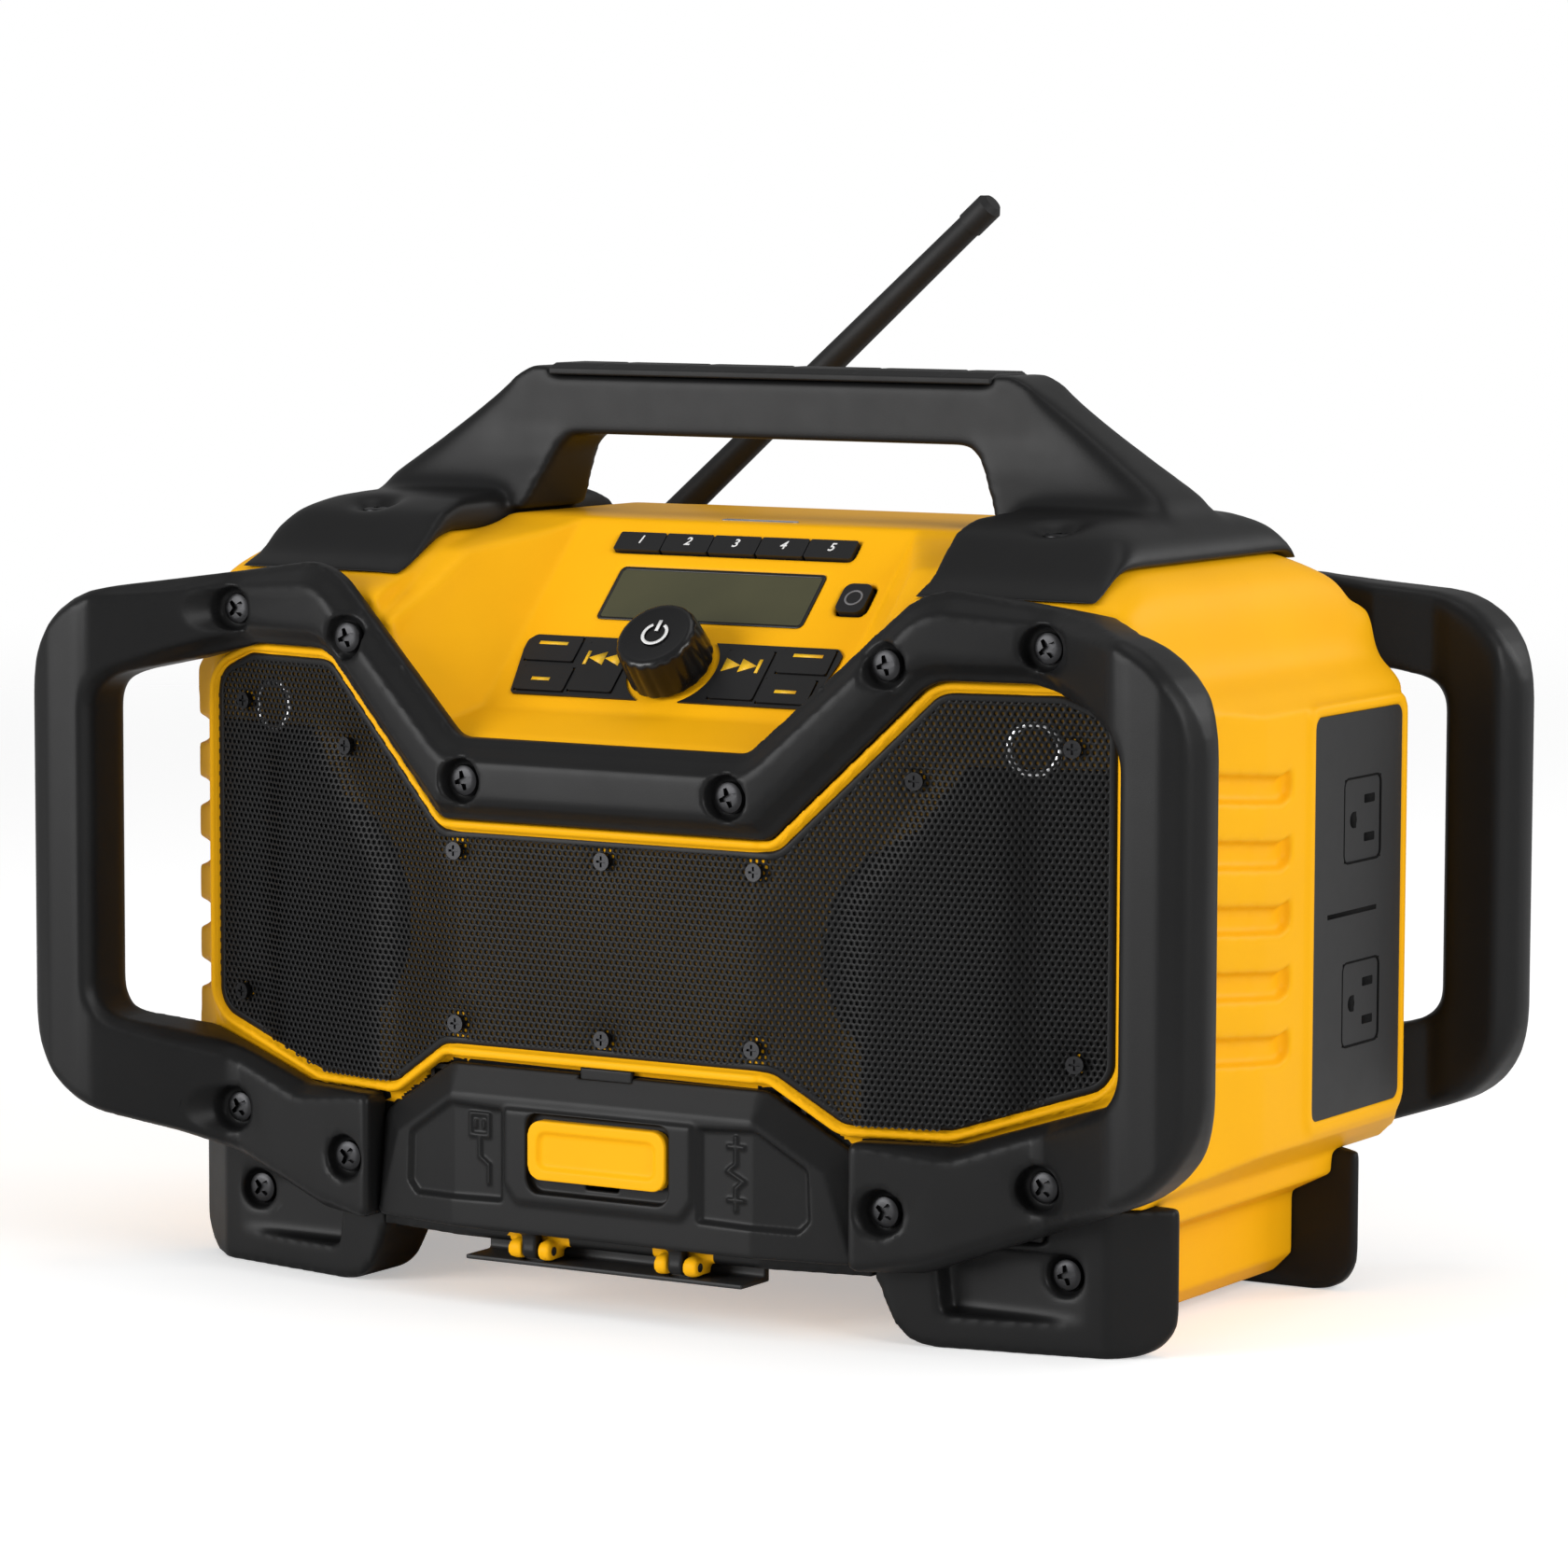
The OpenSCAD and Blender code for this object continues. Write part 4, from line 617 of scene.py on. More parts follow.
def join(mesh: Mesh, other: Mesh) -> None:
    """Adds another mesh to a mesh and frees the other one.

    Args:
        mesh: the mesh that grows.
        other: the mesh that is added.
    """
    data = bpy.data.meshes.new("joined")
    other.to_mesh(data)
    other.free()
    mesh.from_mesh(data)
    bpy.data.meshes.remove(data)


def home(node: str) -> str:
    """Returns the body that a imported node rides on."""
    return body_of(frame["nodes"][node])[0]


def add_cone(mesh: Mesh, start: Vector, end: Vector, radius: float, end_radius: float,
             sides: int = 32) -> None:
    """Adds a closed cone between two points.

    Args:
        mesh: the mesh that gets the cone.
        start: middle of its base.
        end: middle of its top.
        radius: its base's radius.
        end_radius: its top's radius.
        sides: the number of its sides.
    """
    run = end - start
    turn = run.to_track_quat("Z", "Y").to_matrix().to_4x4()
    bmesh.ops.create_cone(mesh, cap_ends=True, segments=sides, radius1=radius,
                          radius2=end_radius, depth=run.length,
                          matrix=Matrix.Translation((start + end) / 2) @ turn)


@dataclass(frozen=True)
class Melt:
    """Rounds a solid's edges as moulding does: remesh, smooth and thin out.

    Args:
        voxel: size of the remesh's cells.
        rounds: number of smoothing passes.
        keep: share of the faces that is kept.
        zone_rounds: extra passes where the zone's weight says so.
    """

    voxel: float
    rounds: int
    keep: float
    zone_rounds: int = 0

    def soften(self, piece: Piece, zone: Optional[Callable[[Vector], float]] = None) -> Piece:
        """Softens a closed piece.

        Args:
            piece: the piece to soften.
            zone: gives the weight of the extra smoothing at a point.

        Returns:
            The same piece.
        """
        remesh = piece.modifiers.new("cells", "REMESH")
        remesh.mode = "VOXEL"
        remesh.voxel_size = self.voxel
        settle(piece)
        if zone is not None:
            group = piece.vertex_groups.new(name="zone")
            for vertex in piece.data.vertices:
                weight = zone(vertex.co)
                if weight > 0.0:
                    group.add((vertex.index,), weight, "REPLACE")
            swell = piece.modifiers.new("zone", "SMOOTH")
            swell.vertex_group = group.name
            swell.iterations = self.zone_rounds
        soften = piece.modifiers.new("soften", "SMOOTH")
        soften.iterations = self.rounds
        thin = piece.modifiers.new("thin", "DECIMATE")
        thin.ratio = self.keep
        settle(piece)
        return piece


@dataclass(frozen=True)
class Bevel:
    """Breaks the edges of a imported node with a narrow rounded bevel.

    Args:
        width: width of the bevel.
        segments: number of its segments.
        angle: the angle between faces from which an edge is bevelled, in degrees.
    """

    width: float
    segments: int = 3
    angle: float = 38.0

    def of_node(self, node: str) -> Piece:
        """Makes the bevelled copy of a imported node.

        Args:
            node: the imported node's name.

        Returns:
            The bevelled piece.
        """
        mesh = node_mesh(node)
        bmesh.ops.dissolve_limit(mesh, angle_limit=math.radians(1.0), verts=mesh.verts,
                                 edges=mesh.edges)
        piece = place_mesh(mesh, node + "_bevelled")
        edges = piece.modifiers.new("edges", "BEVEL")
        edges.width = self.width
        edges.segments = self.segments
        edges.limit_method = "ANGLE"
        edges.angle_limit = math.radians(self.angle)
        settle(piece)
        crease(piece, self.angle)
        return piece


@dataclass(frozen=True)
class Corner:
    """A corner of an outline in the X-Z plane.

    Args:
        x: its place along X.
        z: its height.
        radius: radius of its rounding.
    """

    x: float
    z: float
    radius: float


@dataclass(frozen=True)
class Outline:
    """A closed outline with rounded corners. The material lies on its left.

    Args:
        corners: the corners in order.
    """

    corners: tuple[Corner, ...]

    STEPS: ClassVar[int] = 8
    SMALLEST: ClassVar[float] = 0.3 * MM

    @staticmethod
    def of(corners: Sequence[Point3], side: int = 1) -> "Outline":
        """Returns the outline of corners in millimetres, on one side of the middle."""
        return Outline(tuple(Corner(side * x * MM, z * MM, r * MM) for x, z, r in corners))

    @staticmethod
    def mirrored(right: Sequence[Point3]) -> "Outline":
        """Returns the outline of the right half's corners and their mirror image."""
        return Outline(Outline.of(right).corners + Outline.of(right[::-1], -1).corners)

    def reversed(self) -> "Outline":
        """Returns the outline the other way round, so that the material is outside."""
        return Outline(self.corners[::-1])

    def ring(self, inset: float) -> list[Vector]:
        """Traces the outline, moved into the material.

        Args:
            inset: how far it is moved into the material.

        Returns:
            Points with X and Z as their two coordinates, as many for any inset.
        """
        spots = [Vector((c.x, c.z)) for c in self.corners]
        count = len(spots)
        ways = [(spots[(i + 1) % count] - spots[i]).normalized() for i in range(count)]
        points: list[Vector] = []
        for i, corner in enumerate(self.corners):
            into, out = ways[i - 1], ways[i]
            turn = math.atan2(into.cross(out), into.dot(out))
            half = math.tan(turn / 2)
            left = Vector((-into.y, into.x))
            vertex = spots[i] + left * inset + into * (-inset * half)
            side = 1.0 if turn > 0 else -1.0
            radius = max(corner.radius - side * inset, self.SMALLEST)
            start = vertex - into * (radius * abs(half))
            centre = start + left * (side * radius)
            arm = start - centre
            for step in range(self.STEPS + 1):
                angle = turn * step / self.STEPS
                c, s = math.cos(angle), math.sin(angle)
                points.append(centre + Vector((arm.x * c - arm.y * s, arm.x * s + arm.y * c)))
        return points

    @staticmethod
    def holds(point: Vector, ring: Sequence[Vector]) -> bool:
        """Tells whether a traced ring surrounds a point.

        Args:
            point: the point, as X and Z.
            ring: the traced ring.

        Returns:
            True if the point is inside.
        """
        inside = False
        last = ring[-1]
        for spot in ring:
            if (spot.y > point.y) != (last.y > point.y):
                cross = (last.x - spot.x) * (point.y - spot.y) / (last.y - spot.y) + spot.x
                if point.x < cross:
                    inside = not inside
            last = spot
        return inside


@dataclass(frozen=True)
class Line:
    """A line in plan, mirrored about the middle, from its bends in millimetres.

    Args:
        bends: distance from the middle and y of each bend.
    """

    bends: Path

    def at(self, x: float) -> float:
        """Reads the line at a distance from the middle.

        Args:
            x: the distance, in metres.

        Returns:
            The line's y, in metres.
        """
        reach = abs(x) / MM
        last = self.bends[0]
        for bend in self.bends[1:]:
            if reach <= bend[0]:
                share = (reach - last[0]) / (bend[0] - last[0])
                return (last[1] + share * (bend[1] - last[1])) * MM
            last = bend
        return last[1] * MM


@dataclass(frozen=True)
class Plate:
    """A plate with rounded edges between a front line and a back line in plan.

    Args:
        outline: its outer edge.
        front: plan line of its face.
        back: plan line of its back.
        edge: inset and depth of each ring of the front edge, from the side to the face.
        back_edge: the same from the back's face to the side.
        holes: outlines of its openings, with the material on their left.
        taper: scale of the front edge at a point.
        back_taper: scale of the back edge at a point.
    """

    outline: Outline
    front: Line
    back: Line
    edge: Path
    back_edge: Path
    holes: tuple[Outline, ...] = ()
    taper: Callable[[float, float], float] = lambda x, z: 1.0
    back_taper: Callable[[float, float], float] = lambda x, z: 1.0

    def mesh(self) -> Mesh:
        """Builds the plate's closed mesh.

        Returns:
            A new mesh, which the caller frees.
        """
        mesh = bmesh.new()
        caps: dict[str, list[bmesh.types.BMEdge]] = {"front": [], "back": []}
        for outline in (self.outline, *self.holes):
            self._wall(mesh, outline, caps)
        for edges in caps.values():
            bmesh.ops.triangle_fill(mesh, use_beauty=True, edges=edges)
        bends = {b[0] * MM for line in (self.front, self.back) for b in line.bends if b[0] > 0}
        for bend in sorted(bends):
            for x in (-bend, bend):
                split(mesh, (x, 0, 0), (1, 0, 0))
        for vertex in mesh.verts:
            x, share = vertex.co.x, vertex.co.y
            vertex.co.y = self.front.at(x) * (1 - share) + self.back.at(x) * share
        bmesh.ops.recalc_face_normals(mesh, faces=mesh.faces)
        return mesh

    def _wall(self, mesh: Mesh, outline: Outline,
              caps: dict[str, list[bmesh.types.BMEdge]]) -> None:
        """Adds the rounded wall along one outline, with the depth's share as y.

        Args:
            mesh: the mesh that gets the wall.
            outline: the outline to follow.
            caps: gets the edges that the front and back caps fill.
        """
        base = outline.ring(0.0)
        rings: list[list[bmesh.types.BMVert]] = []
        for profile, taper, behind in ((self.back_edge, self.back_taper, 1.0),
                                       (self.edge, self.taper, 0.0)):
            for inset, depth in profile:
                ring = []
                for start, end in zip(base, outline.ring(inset * MM)):
                    scale = taper(start.x / MM, start.y / MM)
                    spot = start.lerp(end, scale)
                    thick = abs(self.back.at(spot.x) - self.front.at(spot.x))
                    share = min(depth * MM * scale / thick, 0.5)
                    ring.append(mesh.verts.new((spot.x, abs(behind - share), spot.y)))
                rings.append(ring)
        skin(mesh, rings)
        count = len(base)
        for key, ring in (("back", rings[0]), ("front", rings[-1])):
            caps[key] += [mesh.edges.get((ring[i], ring[(i + 1) % count])) for i in range(count)]


def carve(piece: Piece, cutter: Mesh) -> None:
    """Cuts a closed mesh out of a piece.

    Args:
        piece: the piece that is cut.
        cutter: the mesh to cut out, which is freed.
    """
    tool = place_mesh(cutter, "cutter")
    cut = piece.modifiers.new("cut", "BOOLEAN")
    cut.operation = "DIFFERENCE"
    cut.solver = "EXACT"
    cut.use_self = True
    cut.object = tool
    settle(piece)
    bpy.data.objects.remove(tool)


@dataclass(frozen=True)
class Assembly:
    """A sub-assembly, which builds its pieces and dresses them.

    Args:
        shop: the finishes.
    """

    shop: Workshop

    def lay(self, piece: Piece, finish: str, body: str = ROOT) -> Piece:
        """Dresses a new piece and lets it ride on its body.

        Args:
            piece: the new piece.
            finish: the name of its finish.
            body: the body that it rides on.

        Returns:
            The piece.
        """
        self.shop.dress(piece, finish)
        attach(piece, body)
        LOG.info("%s: %d faces", piece.name, len(piece.data.polygons))
        return piece

    def seat(self, piece: Piece, slot: str, body: str = ROOT) -> Piece:
        """Lays a piece whose finish is one of the record's slots."""
        return self.lay(piece, slot, body)

    def stand_in(self, piece: Piece, node: str) -> Piece:
        """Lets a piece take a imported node's place, with its slot and its body."""
        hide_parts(node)
        return self.seat(piece, self.shop.slot_of[node], home(node))


# ---------------------------------------------------------------- the radio

GRILLE = Outline.mirrored(((62.5, 85.5, 9), (86, 70, 9), (121, 70, 11), (172.5, 86.5, 11),
                           (172.5, 202.5, 11), (155.5, 209.5, 11), (116.5, 209.5, 11),
                           (64, 157, 8)))
GRILLE_FRONT = Line(((0, -112.5), (52, -112.45), (57, -112.2), (62, -111.35), (172.5, -85.45)))


@dataclass(frozen=True)
class Cage(Assembly):
    """The two halves of the roll cage, with deep chamfers and screw wells."""

    melt: Melt = Melt(1.2 * MM, 3, 0.3, 5)
    outer: Corners = ((62.6, 160.4, 6), (115.1, 212.9, 14), (148.2, 212.9, 16), (194.5, 201, 13),
                      (194.5, 88.5, 13), (125, 66.6, 16), (91.8, 66.6, 2.5), (91.8, 25, 3),
                      (115, 25, 20), (221.5, 65, 38), (221.5, 227.5, 38), (114.4, 243.0, 26),
                      (55, 187.6, 9))
    face: Path = ((0, -121.5), (55, -121.5), (59, -121.2), (152, -103.1), (157, -104.1),
                  (190, -128.2), (193.5, -130.3), (198.5, -131), (210, -131), (216.5, -128.9),
                  (221.5, -125))
    back: Path = ((0, -108), (57, -108), (172.5, -85.5), (191.5, -106), (197.5, -105),
                  (215.5, -105), (221.5, -110))
    edge: Path = ((0.0, 12.0), (0.15, 10.6), (0.7, 9.3), (1.6, 8.0), (5.6, 1.8), (6.6, 0.7),
                  (7.8, 0.15), (9.2, 0.0), (10.2, 0.0))
    rear_outer: Corners = ((115, 31, 20), (221.5, 65, 36), (221.5, 227.5, 36), (150, 237, 24))
    rear_opening: Corners = ((128, 62, 10), (148, 78, 10), (148, 197.5, 10), (136, 209.5, 10))
    rear_window: Corners = ((164, 79.5, 12), (194.5, 88.5, 12), (194.5, 201, 12), (164, 209, 12))
    rear_face: Path = ((0, 110.5), (152, 110.5), (157, 111.8), (190, 128.6), (193.5, 130.3),
                       (198.5, 131), (210, 131), (216.5, 128.9), (221.5, 125))
    rear_back: Path = ((0, 97), (172.5, 97), (191.5, 106), (197.5, 105), (215.5, 105), (221.5, 110))
    rear_edge: Path = ((0.0, 5.0), (0.2, 3.6), (0.9, 2.1), (2.2, 0.8), (3.8, 0.15), (5.2, 0.0),
                       (6.2, 0.0))
    back_edge: Path = ((2.6, 0.0), (1.2, 0.3), (0.35, 1.2), (0.0, 2.6))
    door: Point2 = (96, 100)
    door_taper: float = 0.18
    low_taper: float = 0.62
    bar_taper: float = 0.38
    ends: Rise = Rise(150, 195)
    bars: Rise = Rise(184, 196)
    bar_edges: Rise = Rise(186, 194)
    bar_swell: float = 1.3
    screws: Path = ((154.5, 224.6), (102.6, 217.7), (50.4, 173.9), (154.5, 55.5), (103, 44.5))
    rear_screws: Path = ((152, 222.5), (80, 223), (152, 52), (80, 46.5))
    bore: float = 7.1 * MM
    well: float = 6.0 * MM
    lip: float = 0.3 * MM
    draft: Point2 = (0.5 * MM, 0.45 * MM)
    overlap: float = 0.9 * MM
    mouth: Point2 = (12 * MM, 9 * MM)

    def front(self) -> Plate:
        """Returns the front half's plate."""
        return Plate(Outline.mirrored(self.outer), Line(self.face), Line(self.back), self.edge,
                     self.back_edge, taper=self._front_taper, back_taper=self._back_taper)

    def rear(self) -> Plate:
        """Describes the rear half.

        Returns:
            The plate, with its opening and both windows.
        """
        holes = (Outline.mirrored(self.rear_opening), Outline.of(self.rear_window),
                 Outline.of(self.rear_window[::-1], -1))
        return Plate(Outline.mirrored(self.rear_outer), Line(self.rear_face),
                     Line(self.rear_back), self.rear_edge, self.back_edge,
                     tuple(hole.reversed() for hole in holes), back_taper=self._back_taper)

    def _front_taper(self, x: float, z: float) -> float:
        """Scales the front chamfer down on the side bars and at the door.

        Args:
            x: place along X, in millimetres.
            z: height, in millimetres.

        Returns:
            The scale.
        """
        half, top = self.door
        if z < top and abs(x) < half:
            return self.door_taper
        along = self.ends.at(abs(x))
        return (self.low_taper if z < top else 1.0) * (1 - along) + self.bar_taper * along

    def _back_taper(self, x: float, z: float) -> float:
        """Returns the scale of the back edge: large on the side bars."""
        return 1.0 + self.bar_swell * self.bar_edges.at(abs(x))

    def _zone(self, point: Vector) -> float:
        """Returns the weight of the extra smoothing: full on the side bars."""
        return self.bars.at(abs(point.x) / MM)

    def _wells(self, plate: Plate, points: Sequence[Point2], out: float) -> Mesh:
        """Makes the cutters of the screw wells.

        Args:
            plate: the plate that gets the wells.
            points: distance from the middle and height of each screw, in millimetres.
            out: 1 towards the rear, -1 towards the front.

        Returns:
            The cutters as one mesh.
        """
        mesh = bmesh.new()
        for x, z in points:
            face = plate.front.at(x * MM)
            for side in (-1, 1):
                deep, lip, far = (Vector((side * x * MM, face + out * reach, z * MM))
                                  for reach in (-self.well, self.lip, self.mouth[0]))
                add_cone(mesh, deep, lip, self.bore, self.bore + self.draft[0])
                add_cone(mesh, lip - Vector((0, out * self.overlap, 0)), far,
                         self.bore + self.draft[1], self.bore + self.mouth[1])
        return mesh

    def build(self) -> None:
        """Builds both halves."""
        for plate, points, out, node in ((self.front(), self.screws, -1.0, "front_cage"),
                                         (self.rear(), self.rear_screws, 1.0, "rear_cage")):
            piece = place_mesh(plate.mesh(), node + "_moulding")
            carve(piece, self._wells(plate, points, out))
            self.stand_in(self.melt.soften(piece, self._zone), node)


@dataclass(frozen=True)
class Grille(Assembly):
    """The perforated sheet with its folded border, and the bead round it."""

    pitch: float = 2.2 * MM
    hole: float = 0.74 * MM
    sheet: float = 0.7 * MM
    border: float = 2.9
    insets: Point2 = (1.3 * MM, 0.9 * MM)
    fold: Path = ((0.25, 1.6), (0.3, 0.7), (0.7, 0.1), (1.4, -0.12), (2.4, -0.12), (2.9, 0.0),
                  (3.0, 0.5))
    bead: float = -1.7
    bead_half: float = 1.45
    bead_base: float = 0.3
    bead_rise: float = 2.1
    bead_root: float = 3.0
    bead_steps: int = 10
    bends: tuple[float, ...] = (-62, -57, -52, 52, 57, 62)
    dimple: float = 1.1 * MM
    dimple_reach: float = 7.0 * MM
    dimple_end: float = 2.2
    screws: Path = ((158.3, 192.7), (108.4, 180.9), (57.2, 150.1), (56.7, 93.1), (159.8, 93.5),
                    (0, 150), (0, 92))
    plateau: tuple[float, float, float, float] = (90.0, 142.0, 143.0, 182.0)
    slant: float = 0.75
    swell: float = 2.6 * MM
    soft: float = 2.4 * MM
    grain: float = 1.5 * MM
    lining_gap: float = 0.12 * MM
    woofer: Point2 = (118.5, 125.0)
    woofer_reach: float = 40.0
    cone_gaps: Point2 = (2 * MM, 4 * MM)
    tweeter: Point2 = (145.5, 192.0)
    tweeter_radii: Point2 = (9.2, 6.6)
    tweeter_steps: int = 48
    tweeter_lift: float = 0.25 * MM
    tweeter_thick: float = 0.3 * MM

    def _inner(self, z: float) -> float:
        """Returns where the swelling starts at a height, from the middle."""
        return self.plateau[0] * MM + max(0.0, z - self.plateau[1] * MM) * self.slant

    def front_at(self, x: float, z: float) -> float:
        """Follows the sheet, with its dimples and its soft swelling.

        Args:
            x: place along X.
            z: height.

        Returns:
            The sheet's y.
        """
        y = GRILLE_FRONT.at(x)
        for sx, sz in self.screws:
            gap = math.hypot(abs(x) - sx * MM, z - sz * MM)
            if gap < self.dimple_end * self.dimple_reach:
                y += self.dimple * math.exp(-(gap / self.dimple_reach) ** 2)
        outer, top = (value * MM for value in self.plateau[2:])
        rise = 1 / (1 + math.exp((self._inner(z) - abs(x)) / self.soft))
        fall = 1 / (1 + math.exp((abs(x) - outer) / self.soft))
        roof = 1 / (1 + math.exp((z - top) / (2 * self.soft)))
        return y - self.swell * rise * fall * roof

    def _area(self, inset: float) -> tuple[list[Vector], Point2, Point2]:
        """Traces the sheet's outline at an inset.

        Args:
            inset: how far the outline is moved inwards.

        Returns:
            The outline, its lowest corner and its highest corner.
        """
        ring = GRILLE.ring(inset)
        xs, zs = [p.x for p in ring], [p.y for p in ring]
        return ring, (min(xs), min(zs)), (max(xs), max(zs))

    def perforated(self) -> Piece:
        """Builds the perforated sheet.

        Returns:
            The sheet's object.
        """
        mesh = bmesh.new()
        ring, low, high = self._area(self.border * MM - self.insets[0])
        rise = self.pitch * math.sqrt(3) / 2
        columns = int((high[0] - low[0]) / self.pitch) + 2
        rows = int((high[1] - low[1]) / rise) + 2
        welded: dict[tuple[int, int], bmesh.types.BMVert] = {}
        for row in range(rows):
            z = low[1] + row * rise
            for column in range(columns):
                x = low[0] + (column + 0.5 * (row % 2)) * self.pitch
                if GRILLE.holds(Vector((x, z)), ring):
                    self._cell(mesh, x, z, welded)
        return place_mesh(mesh, "grille_sheet")

    def _cell(self, mesh: Mesh, x: float, z: float,
              welded: dict[tuple[int, int], bmesh.types.BMVert]) -> None:
        """Adds one six-sided cell with its hole.

        Args:
            mesh: the sheet's mesh.
            x: the hole's place along X.
            z: the hole's height.
            welded: the corners that neighbouring cells share.
        """
        reach, weld = self.pitch / math.sqrt(3), 0.1 * MM
        y = self.front_at(x, z)
        rim, deep, hexagon = [], [], []
        for c, s in circle(6, math.pi / 6):
            rim.append(mesh.verts.new((x + self.hole * c, y, z + self.hole * s)))
            deep.append(mesh.verts.new((x + self.hole * c, y + self.sheet, z + self.hole * s)))
            hx, hz = x + reach * c, z + reach * s
            key = (round(hx / weld), round(hz / weld))
            near = [(key[0] + a, key[1] + b) for a in (0, -1, 1) for b in (0, -1, 1)]
            known = next((welded[spot] for spot in near if spot in welded), None)
            if known is None:
                known = mesh.verts.new((hx, self.front_at(hx, hz), hz))
                welded[key] = known
            hexagon.append(known)
        for i in range(6):
            j = (i + 1) % 6
            mesh.faces.new((rim[i], rim[j], deep[j], deep[i]))
            mesh.faces.new((hexagon[i], hexagon[j], rim[j], rim[i]))

    def band(self, name: str, profile: Sequence[Point2]) -> Piece:
        """Lofts a band along the grille's outline.

        Args:
            name: the band's name.
            profile: inset and depth behind the sheet of each ring, in millimetres.

        Returns:
            The band's object.
        """
        mesh = bmesh.new()
        skin(mesh, [[mesh.verts.new((p.x, GRILLE_FRONT.at(p.x) + depth * MM, p.y))
                     for p in GRILLE.ring(inset * MM)] for inset, depth in profile])
        for x in self.bends:
            split(mesh, (x * MM, 0, 0), (1, 0, 0))
        bmesh.ops.recalc_face_normals(mesh, faces=mesh.faces)
        return place_mesh(mesh, name)

    def build(self) -> None:
        """Builds the sheet, its border, the bead and what lies behind them."""
        self.stand_in(self.perforated(), "speaker_grille")
        self.seat(self.band("grille_border", self.fold), "grille_metal")
        turns = [math.pi * i / self.bead_steps for i in range(self.bead_steps + 1)]
        bead = [(self.bead - self.bead_half, self.bead_root),
                *((self.bead - self.bead_half * math.cos(turn),
                   self.bead_base - self.bead_rise * math.sin(turn)) for turn in turns),
                (self.bead + self.bead_half, self.bead_root)]
        self.seat(self.band("grille_bead", bead), "yellow_shell")
        self.seat(self._lining("cone_lining", True), "speaker_cone")
        # painted shade: beside the woofers the lining is a dim yellow-brown sheet for the shadowed
        # housing seen through the holes
        self.lay(self._lining("shell_painted_shade", False), "painted_shade_shell")
        self.seat(self._tweeters(), "bright_steel")

    def _on_cone(self, x: float, z: float) -> bool:
        """Tells whether a place lies in front of a woofer's black frame.

        Args:
            x: place along X.
            z: height.

        Returns:
            True if it does.
        """
        beside, above = self.cone_gaps
        gap = math.hypot(abs(x) - self.woofer[0] * MM, z - self.woofer[1] * MM)
        return gap < self.woofer_reach * MM or (
            self._inner(z) + beside < abs(x) and z < self.plateau[3] * MM + above)

    def _lining(self, name: str, cones: bool) -> Piece:
        """Builds one part of the lining right behind the sheet; the part beside the woofers carries
        painted shade, the dim yellow-brown of the housing in shadow behind the holes.

        Args:
            name: the lining's name.
            cones: whether it is the part in front of the woofers or the rest.

        Returns:
            The lining's object.
        """
        mesh = bmesh.new()
        ring, low, high = self._area(self.border * MM - self.insets[1])
        known: dict[tuple[int, int], bmesh.types.BMVert] = {}
        for row in range(int((high[1] - low[1]) / self.grain) + 1):
            for column in range(int((high[0] - low[0]) / self.grain) + 1):
                middle = Vector((low[0] + (column + 0.5) * self.grain,
                                 low[1] + (row + 0.5) * self.grain))
                if self._on_cone(*middle) != cones or not GRILLE.holds(middle, ring):
                    continue
                keys = [(column + a, row + b) for a, b in ((0, 0), (1, 0), (1, 1), (0, 1))]
                for key in keys:
                    if key not in known:
                        x, z = (low[k] + key[k] * self.grain for k in (0, 1))
                        y = self.front_at(x, z) + self.sheet + self.lining_gap
                        known[key] = mesh.verts.new((x, y, z))
                mesh.faces.new([known[key] for key in keys])
        return place_mesh(mesh, name)

    def _tweeters(self) -> Piece:
        """Builds the bright tweeter rings, which follow the sheet.

        Returns:
            The rings' object.
        """
        mesh = bmesh.new()
        for side in (-1, 1):
            x, z = side * self.tweeter[0] * MM, self.tweeter[1] * MM
            loops = [[Vector((x + r * MM * c, 0, z + r * MM * s))
                      for c, s in circle(self.tweeter_steps)] for r in self.tweeter_radii]
            for point in (*loops[0], *loops[1]):
                point.y = self.front_at(point.x, point.z) + self.sheet - self.tweeter_lift
            add_ring(mesh, *loops, Vector((0, self.tweeter_thick, 0)))
        return place_mesh(mesh, "tweeter_rings")


